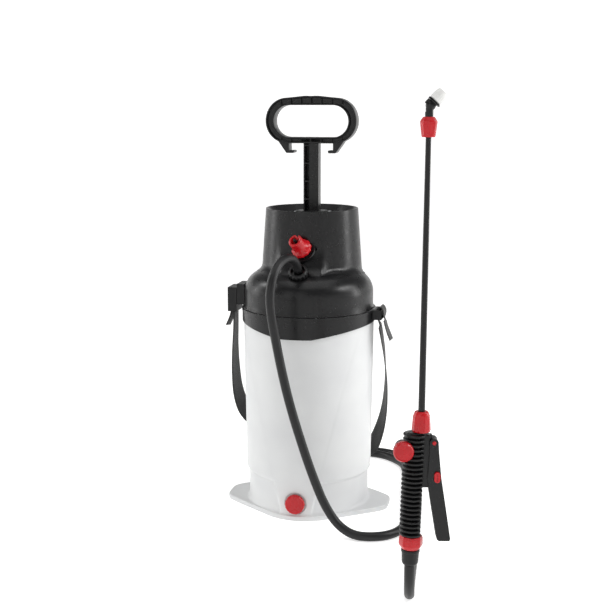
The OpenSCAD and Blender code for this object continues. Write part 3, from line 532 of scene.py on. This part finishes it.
def make_strap():
    """Webbing: a flat band with slightly thicker woven edges, carried along its route. Its face looks
    away from the lug's bar and the buckle's fold where it loops, and is square to the tank elsewhere."""
    line = smooth(STRAP_ROUTE, 4)
    tangent = unit(np.gradient(line, axis=0))
    outward = line * (1, 1, 0)
    after_fold = np.arange(len(line)) > np.argmin(np.linalg.norm(line - FOLD_TOP, axis=1))
    looks_out = (line[:, 0] > TAIL_OUT) | after_fold
    face = np.where(looks_out[:, None], outward, -outward)
    at_bar = (line[:, 0] > 95) & (line[:, 0] <= TAIL_OUT) & (line[:, 2] > 262)
    face[at_bar] = (line - LUG_BAR)[at_bar]
    at_fold = (line[:, 0] < -104) & (line[:, 2] > 280)
    face[at_fold] = (line - BUCKLE_FOLD)[at_fold]
    face = unit(face - np.sum(face * tangent, 1, keepdims=True) * tangent)
    across = np.cross(tangent, face)
    run = np.linspace(-1, 1, 15)
    x = np.concatenate([run, run[::-1]])
    side = np.repeat([1.0, -1.0], len(run))
    thick = STRAP_THICK / 2 * np.sqrt(np.clip(1.02 - np.abs(x) ** 12, 0, 1)) * (1 - 0.12 * np.cos(x * np.pi))
    grid = (line[:, None] + across[:, None] * (x * STRAP_WIDE / 2)[None, :, None]
            + face[:, None] * (side * thick)[None, :, None])
    along = distance_along(line)
    uv = np.stack(np.broadcast_arrays((x * STRAP_WIDE / 2)[None, :], along[:, None]), -1).reshape(-1, 2)
    uv = np.concatenate([uv, uv[:1], uv[-1:]])
    piece = make("strap_webbing", [capped(grid)], "root", "webbing", ["strap"], uv)


make_strap()

# ---- Cover ---------------------------------------------------------------------------------------

SEAM, RIM = 283, 419            # heights of the collar's seam and of the funnel's rim
SHOULDER = 89.6                 # outer radius of the shoulder
DOME, DOME_FOOT = 30, 305       # radius of the shoulder's rounding, and the height it starts at
FLARE = 12                      # radius of the hollow between shoulder and neck
RIM_RADIUS, NECK_SLOPE, NECK_LONG = 64.3, 0.07, 72
COVER_WALL, LIP = 2.4, 8        # wall thickness, and height of the lip over the seam
FUNNEL_UNDER = 386              # the inner surface ends at this height, under the funnel
PUMP_BACK = AT_PUMP[1][3]
# The raised front panel: its middle line (how far forward, height) and its half width by height
PANEL_LINE = smooth([[89, 295], [88.2, 306], [85, 319], [77.5, 328], [68, 333], [60.5, 338.5], [55.5, 346],
                     [51.5, 357], [48.2, 368], [45.8, 382], [40, 420]], 1.5)
PANEL_HALF = [[331, 27], [346, 29.5], [368, 32], [385, 32.5]]
PANEL_SIDE = np.radians(56)     # its sides face this far round from the front
PANEL_EDGE, PANEL_BLEND = 2.2, 3.5      # reach of the rounding at its edges and at its foot


def soft_max(a, b, reach):
    """The larger of two, with a rounded hollow where they are within reach of each other."""
    near = np.maximum(reach - np.abs(a - b), 0) / reach
    return np.maximum(a, b) + near ** 2 * reach / 4


def neck_ray(angle, radius):
    """Distance from the tank's axis to a circle about the pump's axis. Angle 0 looks forward."""
    return -PUMP_BACK * np.cos(angle) + np.sqrt(radius ** 2 - (PUMP_BACK * np.sin(angle)) ** 2)


def cover_radius(angle, height, inset=0.0):
    """Distance from the tank's axis to the cover: a wall and a round dome, then a hollow arc that
    touches both the dome and the leaning neck, and the front panel, which is round about the pump's
    axis between two flat slanted sides."""
    wall = SHOULDER - inset + np.clip((SEAM + LIP - height) / LIP, 0, 1)
    above = np.clip(height - DOME_FOOT, 0, DOME)
    dome = SHOULDER - DOME - inset + np.sqrt(np.clip(DOME ** 2 - above ** 2, 0, None))
    neck = neck_ray(angle, RIM_RADIUS + (RIM - height) * NECK_SLOPE - inset)
    out = neck_ray(angle, RIM_RADIUS + NECK_LONG * NECK_SLOPE) + FLARE - SHOULDER + DOME
    out = np.clip(out, None, DOME + FLARE - 0.5)
    centre = DOME_FOOT + np.sqrt((DOME + FLARE) ** 2 - out ** 2)
    touch = DOME_FOOT + (centre - DOME_FOOT) * DOME / (DOME + FLARE)
    hollow = neck + FLARE - np.sqrt(np.clip(FLARE ** 2 - (centre - height) ** 2, 0, None))
    body = np.where(height > centre, neck, np.where(height > touch, hollow, dome))
    body = np.minimum(np.where(height < DOME_FOOT, wall, body), wall)
    bow = PUMP_BACK + np.interp(height, PANEL_LINE[:, 1], PANEL_LINE[:, 0]) - inset
    half = np.interp(height, *np.transpose(PANEL_HALF)) - inset
    ahead, aside = np.cos(angle), np.abs(np.sin(angle))
    corner = half * np.sin(PANEL_SIDE) + (np.sqrt(bow ** 2 - half ** 2) - PUMP_BACK) * np.cos(PANEL_SIDE)
    face = neck_ray(angle, bow)
    side = corner / np.maximum(ahead * np.cos(PANEL_SIDE) + aside * np.sin(PANEL_SIDE), 0.05)
    panel = np.where(ahead > 0, -soft_max(-face, -side, PANEL_EDGE), 0)
    return soft_max(body, panel, PANEL_BLEND)


def around_tank(angle, radius, height):
    """Points at an angle about the tank's axis, from the front towards +X."""
    return np.stack([radius * np.sin(angle), -radius * np.cos(angle), height + 0 * angle * radius], -1)


def pocket(at, inside, deep, bore):
    """A round cup let into the cover: its floor is deep along the axis, and its rim is cut to the
    cover's surface, which is found by halving the step along each line of the cup's wall."""
    around, beyond = 72, 60
    angle = np.linspace(0, 2 * np.pi, around, endpoint=False)
    place = np.array(at)

    def rim(radius):
        low, high = np.full(around, float(deep)), np.full(around, float(deep + beyond))
        for _ in range(24):
            middle = (low + high) / 2
            here = np.stack([radius * np.cos(angle), radius * np.sin(angle), middle], -1)
            here = here @ place[:3, :3].T + place[:3, 3]
            surface = cover_radius(np.arctan2(here[:, 0], -here[:, 1]), here[:, 2])
            within = np.hypot(here[:, 0], here[:, 1]) < surface
            low, high = np.where(within, middle, low), np.where(within, high, middle)
        return low

    outside = inside + COVER_WALL
    floor, under = np.full(around, float(deep)), np.full(around, deep - COVER_WALL)
    rings = [(bore, floor), (inside - 1, floor), (inside, floor + 1),
             (inside, rim(inside) - 0.7), (inside + 0.3, rim(inside + 0.3) - 0.15),
             (outside, rim(outside) - SKIN_GAP), (outside, under), (bore, under)]
    grid = np.stack([np.stack([r * np.cos(angle), r * np.sin(angle), h], -1) for r, h in rings])
    bore_out = turned([(0, deep - 8, 0), (outside, deep - 8, 0), (outside, beyond, 0), (0, beyond, 0)],
                      around)
    return placed(at, looped(grid[::-1])), placed(at, bore_out)


def make_cover():
    """Shell of the cover: its outer surface up to the rim, the funnel down to the pump's hole, and the
    inner surface back to the seam, each a ring of points at one height."""
    angle = np.linspace(0, 2 * np.pi, 400, endpoint=False)[None, :]
    rise = np.linspace(0, np.pi / 2, 26)
    shoulder = DOME_FOOT + DOME * np.sin(rise[1:])
    flare = DOME_FOOT + DOME + FLARE * (1 - np.cos(rise[2::2]))
    heights = np.concatenate([[SEAM, SEAM + 0.4], np.linspace(SEAM + 1, DOME_FOOT, 9), shoulder, flare,
                              np.linspace(349, RIM - 0.8, 32)])[:, None]
    outer = around_tank(angle, cover_radius(angle, heights), heights)
    inner_heights = heights[heights[:, 0] < FUNNEL_UNDER][::-1]
    inner = around_tank(angle, cover_radius(angle, inner_heights, COVER_WALL), inner_heights)
    funnel = rounded([(RIM_RADIUS, RIM - 0.8, 0), (RIM_RADIUS, RIM, 0.6), (RIM_RADIUS - 1.6, RIM, 0.6),
                      (45, 394, 1), (43, 393, 1), (35, 393, 0.4), (35, 390.6, 0.2), (58, 390.6, 0)])[1:]
    middle = around_tank(angle, neck_ray(angle, funnel[:, :1]), funnel[:, 1:])
    cups = [pocket(AT_OUTLET, 13.4, -14, 8.4), pocket(AT_VALVE, 14.8, 0.5, 9.3)]
    grid = np.concatenate([outer, middle, inner])
    shell = make("cover_shell", [looped(grid)], "root", "black_plastic", ["cover"])
    cut(shell, [cup[1] for cup in cups])
    make("cover_pockets", [cup[0] for cup in cups], "root", "black_plastic")


make_cover()

# ---- Tank ----------------------------------------------------------------------------------------

TANK_TOP, TANK_LOW, FOOT_RING = 91, 88, 84.5
FOOT_HALF, FOOT_THICK, FOOT_BOW = 116, 7, 70
FOOT_EDGE, FOOT_FILLET = 1.5, 6         # rounding of the plate's edge, and of its join to the wall
DRAIN_POCKET = 15.5


def foot_reach(angle):
    """Distance from the tank's axis to the foot plate's edge: a round front and back, and straight
    slants to the two side feet, whose ends have cut corners. A running mean rounds the corners."""
    bow = np.radians(np.linspace(234, 306, 25))
    front = np.stack([FOOT_BOW * np.cos(bow), -21 + FOOT_BOW * np.sin(bow)], -1)
    cut_back = FOOT_HALF * 0.93
    foot = np.array([[cut_back, -28], [FOOT_HALF, -16], [FOOT_HALF, 16], [cut_back, 28]])
    corners = np.concatenate([front, foot, -front, -foot, front[:1]])
    share = np.arange(0, len(corners) - 1, 0.02)
    edge = np.stack([np.interp(share, np.arange(len(corners)), corners[:, k]) for k in (0, 1)], -1)
    span = 31
    mean = np.ones(span) / span
    edge = np.stack([np.convolve(np.tile(edge[:, k], 3), mean, "same") for k in (0, 1)], -1)
    edge = edge[len(share):2 * len(share)]
    bearing = np.arctan2(edge[:, 0], -edge[:, 1])
    order = np.argsort(bearing)
    return np.interp(np.mod(angle + np.pi, 2 * np.pi) - np.pi, bearing[order],
                     np.hypot(edge[:, 0], edge[:, 1])[order], period=2 * np.pi)


def tank_radius(angle, height):
    """The wall leans out slightly upwards and steps in above the foot, apart from a front panel whose
    sides slant in towards the drain."""
    def ease(t):
        t = np.clip(t, 0, 1)
        return t * t * (3 - 2 * t)

    upper = TANK_LOW + (TANK_TOP - TANK_LOW) * (height - 57) / (SEAM - 57)
    stepped = FOOT_RING + (upper - FOOT_RING) * ease((height - 50) / 6)
    panel_half = 20 + 13 * (height - 6) / 54
    on_panel = ease((panel_half - np.abs(stepped * np.sin(angle))) / 2.5 + 0.5) * (np.cos(angle) > 0)
    return stepped + (upper - 0.4 - stepped) * on_panel


def make_tank():
    """The bottle as rings: under the foot, round its edge, in along its top and up the wall through a
    hollow fillet, then over the shoulder inside the cover."""
    angle = np.linspace(0, 2 * np.pi, 360, endpoint=False)[None, :]
    edge = foot_reach(angle)
    wall = tank_radius(angle, FOOT_THICK + FOOT_FILLET + 0 * angle)
    bend = np.linspace(0, np.pi / 2, 7)[:, None]
    over, back = FOOT_EDGE * np.sin(bend), FOOT_EDGE * np.cos(bend)
    under = np.concatenate([edge - FOOT_EDGE + over, edge - FOOT_EDGE + back])
    under_z = np.concatenate([FOOT_EDGE - back, FOOT_THICK - FOOT_EDGE + over])
    reach = np.minimum(FOOT_FILLET, (edge - FOOT_EDGE - wall) * 0.8)
    hollow = wall + reach * (1 - np.sin(bend[1:]))
    hollow_z = FOOT_THICK + FOOT_FILLET * (1 - np.cos(bend[1:]))
    heights = np.concatenate([np.arange(14, 48, 2), np.linspace(48, 58, 16),
                              np.linspace(60, SEAM - 2, 40)])[:, None]
    top = rounded([(TANK_TOP, SEAM - 2, 0), (TANK_TOP - 0.2, SEAM - 1, 0), (86, SEAM - 1, 0),
                   (85, 294, 0), (80, 308, 8), (60, 321, 8), (32, 322, 0)])
    rows = [around_tank(angle, under, under_z), around_tank(angle, hollow, hollow_z),
            around_tank(angle, tank_radius(angle, heights), heights),
            around_tank(angle, top[:, :1] + 0 * angle, top[:, 1:])]
    neck = turned([(0, 310, 0), (31, 310, 0), (31, 392, 0.5), (27.5, 392, 0.5), (27.5, 330, 0),
                   (0, 330, 0)], 72)
    bottle = make("tank_bottle", [capped(np.concatenate(rows)), placed(AT_PUMP, neck)], "root",
                  "tank_plastic", ["tank"])
    plug_seat = turned([(0, FOOT_RING, 0), (DRAIN_POCKET, FOOT_RING, 1), (DRAIN_POCKET, 110, 0),
                        (0, 110, 0)], 72)
    cut(bottle, [placed(AT_DRAIN, plug_seat)])


make_tank()

# ---- Pump handle ---------------------------------------------------------------------------------

LOOP_MIDDLE, LOOP_RADIUS = 538, 30      # height of the loop's middle, and radius of its round ends
FLANGE, WEB = 2.2, 6            # thickness of the flanges, and half thickness of the web between them
HANDLE_HALF = 11                # half depth of the handle
RIB_PITCH, RIB_LAST = 14.25, 42.75      # cross ribs of the two straight runs, spaced along X


def loop_path(ends, radius, crown, angle):
    """Radius of a loop about its middle, by angle: two round ends at +-ends joined by straight runs, the
    top one arched up by crown with a slight dip at its middle."""
    x, z = np.cos(angle), np.sin(angle)
    flat = radius / np.maximum(np.abs(z), 1e-6)
    bend = ends * np.abs(x) + np.sqrt(np.clip(radius ** 2 - (ends * z) ** 2, 0, None))
    reach = np.where(flat * np.abs(x) < ends, flat, bend)
    lift = crown * np.clip(z, 0, None) ** 1.5 * (1 - 0.16 * np.exp(-(x / 0.12) ** 2))
    return reach + lift


def make_handle():
    """The loop is an I section carried round by angle. Each corner of the section is a distance in from
    the outer loop, or out from the inner one, and a depth. The hooks are outlines given a depth."""
    angle = np.linspace(0, 2 * np.pi, 360, endpoint=False)
    outer = loop_path(33.5, LOOP_RADIUS, 4.6, angle)
    inner = loop_path(30.6, 21.7, 0.0, angle)
    deep, soft = HANDLE_HALF, 0.8
    half = rounded([(0, 0, 0), (0, deep, soft), (FLANGE, deep, soft), (FLANGE + 0.4, WEB, soft),
                    (FLANGE + 3, WEB, 0)], 4)
    outline = [(outer - d, y) for d, y in half] + [(inner + d, y) for d, y in half[::-1]]
    outline += [(inner + d, -y) for d, y in half[1:]] + [(outer - d, -y) for d, y in half[:0:-1]]
    grid = np.stack([np.stack([r * np.cos(angle), 0 * angle + y, LOOP_MIDDLE + r * np.sin(angle)], -1)
                     for r, y in outline])
    parts = [looped(grid[::-1])]
    for x in np.arange(-RIB_LAST, RIB_LAST + 0.25, RIB_PITCH):
        for low, high in ((509, 515.8), (560.4, 568)):
            for front, back in ((-10.4, -5.5), (5.5, 10.4)):
                parts.append(box((x - 0.8, front, low), (x + 0.8, back, high), 0.3))
    foot = LOOP_MIDDLE - LOOP_RADIUS
    hook = rounded([(36, foot + 3, 0), (30, foot + 2, 1), (31, foot, 1), (31, foot - 10, 1),
                    (24.5, foot - 9.4, 0.6), (23.6, foot - 11, 0.6), (24.8, foot - 13.4, 0.6),
                    (34.5, foot - 13.4, 1), (46.5, foot + 3.5, 1), (42, foot + 5, 1),
                    (36, foot + 3, 0)])[:-1]
    for mirror in (1, -1):
        parts.append(slab((hook * (mirror, 1))[::mirror], -10, 10, 0.6))
    make("pump_handle", [placed(AT_PUMP, part) for part in parts], "pump", "black_plastic", ["handle"])


def slab(line, low, high, soft):
    """A flat (x, z) outline given a depth along Y, with its edges rounded by pulling it in by soft."""
    ahead = np.roll(line, -1, 0) - np.roll(line, 1, 0)
    inward = unit(np.stack([-ahead[:, 1], ahead[:, 0]], -1))
    bend = np.linspace(0, np.pi / 2, 4)
    pull = np.concatenate([soft * (1 - np.sin(bend)), soft * (1 - np.cos(bend))])
    depth = np.concatenate([low + soft * (1 - np.cos(bend)), high - soft * (1 - np.sin(bend))])
    grid = np.stack([np.stack([p[:, 0], 0 * p[:, 0] + y, p[:, 1]], -1)
                     for p, y in ((line + inward * d, y) for d, y in zip(pull, depth))])
    points, faces = grid.reshape(-1, 3), grid_faces(len(grid), len(line))
    last = (len(grid) - 1) * len(line)
    ends = [list(range(len(line)))[::-1], list(range(last, last + len(line)))]
    return points, [face[::-1] for face in faces + ends]


make_handle()

# ---- Turned and ribbed parts ---------------------------------------------------------------------


def ribs(count, height, low, high, beyond, sharp=1.0):
    """Rounded ribs on the outside of a turned part: they rise by height between two heights on its
    axis, and only where the radius is beyond a limit."""
    def shape(angle, radius, level):
        rib = (0.5 + 0.5 * np.cos(count * angle)) ** sharp
        ends = np.clip(np.minimum(level - low, high - level) / 0.8, 0, 1)
        return radius + height * rib * ends * (radius > beyond)
    return shape


def facets(count, low, high, beyond):
    """Flats round a turned part: each point is drawn in onto its flat, and the corners are eased."""
    def shape(angle, radius, level):
        half = np.pi / count
        off = np.abs(np.mod(angle, 2 * half) - half)
        flat = np.cos(half) / np.cos(off) - 0.015 * (off / half) ** 8
        on = np.clip(np.minimum(level - low, high - level) / 1.0, 0, 1) * (radius > beyond)
        return radius * (1 + (flat - 1) * on)
    return shape


def make_round(name, at, outline, body, slot, node, around=192, shape=None, closed=False):
    """One turned piece. Its outline is (radius, height, rounding) corners about its own axis."""
    return make(name, [placed(at, turned(outline, around, shape, closed))], body, slot, [node])


def make_turned():
    """Everything round. An open outline comes back to its first corner and leaves a bore."""
    make_round("outlet_gland", AT_OUTLET,
               [(8.4, -8, 0), (8.4, -13.6, 0), (12.4, -13.6, 0.6), (12.4, -2.6, 1), (11.6, 0, 0.8),
                (9.2, 0, 0.8), (8.9, -5, 0.5), (8.4, -8, 0)],
               "root", "dark_plastic", "outlet_nut", shape=ribs(16, 0.9, -13.6, -2.2, 10.5, 2))
    relief_cap = make_round(
        "relief_cap", AT_VALVE,
        [(2.4, 8, 0), (9.2, 12, 0), (9.2, 2.2, 0), (12.4, 2.2, 0.8), (13.4, 3.4, 1), (13.4, 8, 1.6),
         (9.8, 12.6, 2.2), (9.2, 26.4, 1.2), (6.2, 26.4, 1), (5.8, 17.5, 1), (2.4, 17, 0), (2.4, 8, 0)],
        "relief", "red_plastic", "valve_knob", 144, ribs(12, 0.8, 2.2, 9.5, 12, 2))
    cut(relief_cap, [placed(AT_VALVE, box((-12, -2.8, 19), (0, 2.8, 30)))])
    make_round("drain_cap", AT_DRAIN,
               [(0, 68, 0), (7.9, 68, 0.5), (7.9, 86.8, 0), (12.8, 86.8, 0.6), (13.2, 88.2, 0.5),
                (13, 93.6, 1.2), (11.4, 94.4, 0.6), (10.6, 94, 0.5), (0, 94.5, 0)],
               "drain", "red_plastic", "drain_plug", 144, ribs(18, 0.45, 87.2, 93.6, 12, 2), True)
    make_round("gun_union", AT_GRIP,
               [(6.2, -152, 0), (6.2, -156.3, 0), (10.4, -156.3, 0.8), (13.6, -152, 1.6),
                (13.4, -144.2, 1.2), (12.2, -141.2, 0.8), (9.3, -141.2, 0), (9.3, -152, 0), (6.2, -152, 0)],
               "root", "red_plastic", "gun_nut", shape=facets(8, -156.3, -141, 9.8))
    make_round("hose_gland", AT_GRIP,
               [(6.15, -160, 0), (6.15, -175, 0.4), (7.6, -175, 1.2), (9.2, -172.6, 1.6),
                (9.7, -160.6, 0.2), (10.3, -160.2, 0.5), (10.3, -157.2, 0.5), (9, -157, 0),
                (8.8, -160, 0), (6.15, -160, 0)],
               "root", "dark_plastic", "hose_nut", 96)
    make_round("gun_dial", AT_DIAL @ turn("X", 90),
               [(0, -3.6, 0), (4, -3.6, 0.5), (4, 6.4, 0), (10.2, 6.4, 0.8), (10.9, 7.6, 0.8),
                (10.9, 15.4, 1.4), (9.4, 17.2, 0.8), (8.6, 16.6, 0.5), (0, 17.2, 0)],
               "knob", "red_plastic", "gun_knob", 240, ribs(30, 0.45, 7.4, 15.4, 10, 1.5), True)
    make_round("lance_union", AT_LANCE,
               [(7.6, 220, 0), (7.6, 212.4, 0), (9.8, 212.4, 0.7), (10, 214, 0.5), (8.7, 231.6, 1.6),
                (7, 235, 1.2), (4.1, 235, 0.4), (4.1, 231, 0), (7.6, 230.4, 0), (7.6, 220, 0)],
               "root", "red_plastic", "lance_nut", shape=ribs(10, 0.5, 213.5, 231, 8, 3))
    make_round("tip_union", AT_LANCE,
               [(4.5, 536, 0), (4.5, 529.5, 0), (7, 528.4, 0.6), (7.8, 532, 0.8), (9.4, 544.6, 1.2),
                (6.2, 549.4, 0.8), (4.3, 549.4, 0.3), (4.5, 536, 0)],
               "root", "red_plastic", "tip_nut", shape=facets(8, 531, 549.6, 5))
    make_round("spray_tip", AT_NOZZLE,
               [(4.65, 10, 0), (4.65, 6.4, 0), (6.4, 6.4, 0.5), (6.8, 7.2, 0.5), (6.8, 15.2, 1),
                (5.8, 19.4, 0.8), (2.8, 19.6, 0.3), (0.8, 18.4, 0), (0.8, 16.8, 0), (4.65, 16.6, 0),
                (4.65, 10, 0)],
               "tip", "white_plastic", "nozzle", 160, ribs(20, 0.35, 6.8, 15, 6, 1.5))


make_turned()

# ---- Gun -----------------------------------------------------------------------------------------

FIN_COUNT, FIN_TOP, FIN_RUN = 23, -26, 113
FIN_RADIUS, CORE_RADIUS = 13.4, 7.8
FIN_FOOT, FIN_TIP = 1.5, 1.05   # half thickness of a fin at its foot and at its tip
LEVER_FLAT = 9.2                # the fins are cut off here to let the lever close


def make_grip():
    """Sleeve with round fins: one outline that goes out and in at each fin, flattened towards the lever.
    The valve block, the lance's neck and the side chamber for the dial are added to it."""
    corners = [(0, -151, 0), (9, -151, 0.5), (9, -139.6, 0.5), (CORE_RADIUS, -139, 0.5)]
    for level in FIN_TOP - FIN_RUN + np.arange(FIN_COUNT) * FIN_RUN / (FIN_COUNT - 1):
        corners += [(CORE_RADIUS, level - FIN_FOOT, 0.8), (FIN_RADIUS, level - FIN_TIP, 1.0),
                    (FIN_RADIUS, level + FIN_TIP, 1.0), (CORE_RADIUS, level + FIN_FOOT, 0.8)]
    corners += [(CORE_RADIUS, -23.4, 0), (0, -23.4, 0)]

    def shape(angle, radius, level):
        limit = LEVER_FLAT / np.maximum(np.cos(angle), 0.3)
        return np.minimum(radius, np.maximum(limit, CORE_RADIUS))

    neck = turned([(0, 207, 0), (6.8, 207, 0.5), (6.8, 230, 0.6), (0, 230, 0)], 72)
    chamber = turned([(0, -7, 0), (8.4, -7, 1), (8.4, 5.9, 1), (0, 5.9, 0)], 96)
    bridge = turned([(0, 0, 0), (7, 0, 0), (7, 14, 0), (0, 14, 0)], 72)
    ear = turned([(0, -5.2, 0), (4.4, -5.2, 0.5), (4.4, 5.2, 0.5), (0, 5.2, 0)], 72)
    parts = [placed(AT_GRIP, turned(corners, 144, shape)),
             placed(AT_GUN, neck),
             placed(AT_GUN, box((-6, -5.2, 150), (9.3, 5.2, 209.5), 1)),
             placed(AT_GUN, box((4, -2.5, 150.5), (12, 5.2, 209), 0.8)),
             placed(AT_GUN @ shift(PIVOT_OUT, 0, 201) @ turn("X", 90), ear),
             placed(AT_DIAL @ turn("Y", 90), bridge),
             placed(AT_DIAL @ turn("X", 90), chamber)]
    make("grip_sleeve", parts, "root", "black_plastic", ["gun_body"])


make_grip()

# ---- Springs -------------------------------------------------------------------------------------


def make_spring(node, at, radius, wire, height, turns):
    """Coil spring: a circle of wire, whose radius is given, carried up a helix and closed at both ends."""
    along = np.linspace(0, turns, turns * 32 + 1)[:, None]
    section = -np.linspace(0, 2 * np.pi, 12, endpoint=False)[None, :]
    out = radius + wire * np.cos(section)
    angle = 2 * np.pi * along
    rise = wire + (height - 2 * wire) * along / turns + wire * np.sin(section)
    grid = np.stack([out * np.cos(angle), out * np.sin(angle), rise], -1)
    piece = make(node + "_coil", [placed(at, capped(grid))], "root", "spring_steel", [node])
    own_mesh(piece)


VALVE_SPRING_AT = AT_VALVE @ shift(0, 0, -15.2)
GUN_SPRING_AT = AT_GUN @ shift(1.9, 0, 168) @ turn("Y", 90)
make_spring("valve_spring", VALVE_SPRING_AT, radius=4.2, wire=0.5, height=21, turns=6)
make_spring("gun_spring", GUN_SPRING_AT, radius=2.85, wire=0.35, height=5.4, turns=4)

# ---- Stage ---------------------------------------------------------------------------------------

WHITE = (1, 1, 1, 1)
FLOOR_GLOW, WORLD_GLOW = 0.57, 0.22
LIGHTS_AIM = (0, -0.05, 0.3)    # m


def make_stage():
    """Pale floor that curves up all round into a low wall: an upright run, a quarter circle and a disc,
    turned about the tank's axis."""
    around, reach, wall, curve = 128, 5000, 1700, 1000
    bend = np.linspace(np.pi / 2, 0, 16)
    run = np.stack([reach - curve + curve * np.sin(bend), curve - curve * np.cos(bend)], -1)
    run = np.concatenate([[[reach, wall]], run, [[reach / 2, 0]]])
    angle = np.linspace(0, 2 * np.pi, around, endpoint=False)[None, :]
    grid = around_tank(angle, run[:, :1], run[:, 1:])
    first, j = (len(run) - 1) * around, np.arange(around)
    centre = np.stack([first + j, first + (j + 1) % around, 0 * j + first + around], -1)
    points = np.concatenate([grid.reshape(-1, 3), [[0, 0, 0]]])
    mesh = bpy.data.meshes.new("studio_floor")
    mesh.from_pydata((points * MM).tolist(), [], grid_faces(len(run), around) + centre.tolist())
    mesh.shade_smooth()
    material, tree, shader, _ = start("pale_floor")
    give(tree, shader, {"Base Color": colour("#e8e8e7"), "Roughness": 0.8,
                        "Emission Color": WHITE, "Emission Strength": FLOOR_GLOW})
    mesh.materials.append(material)
    linked("studio_floor", mesh)


def softbox(name, at, size, power):
    """A rectangular studio light that faces the sprayer: its place and size in m, its power in W."""
    light = bpy.data.lights.new(name, "AREA")
    light.shape = "RECTANGLE"
    light.size, light.size_y = size
    light.energy = power
    lamp = linked(name, light)
    lamp.location = at
    lamp.rotation_euler = (Vector(LIGHTS_AIM) - Vector(at)).to_track_quat("-Z", "Y").to_euler()


make_stage()
softbox("top_softbox", (0.1, -0.3, 2.6), (2.4, 2.4), 24)
softbox("left_softbox", (-2.0, 0.2, 1.0), (0.5, 1.8), 10)
softbox("right_softbox", (2.0, 0.5, 1.0), (0.5, 1.8), 18)
softbox("front_softbox", (-0.7, -2.6, 1.5), (1.6, 1.2), 8)
softbox("right_high_softbox", (1.7, -0.1, 1.6), (0.45, 0.45), 12)
softbox("left_high_softbox", (-1.7, 0.1, 1.6), (0.4, 0.4), 6)
world = bpy.data.worlds.new("studio")
world.use_nodes = True
give(world.node_tree, world.node_tree.nodes["Background"], {"Color": WHITE, "Strength": WORLD_GLOW})
bpy.context.scene.world = world
bpy.context.scene.view_settings.view_transform = "Standard"
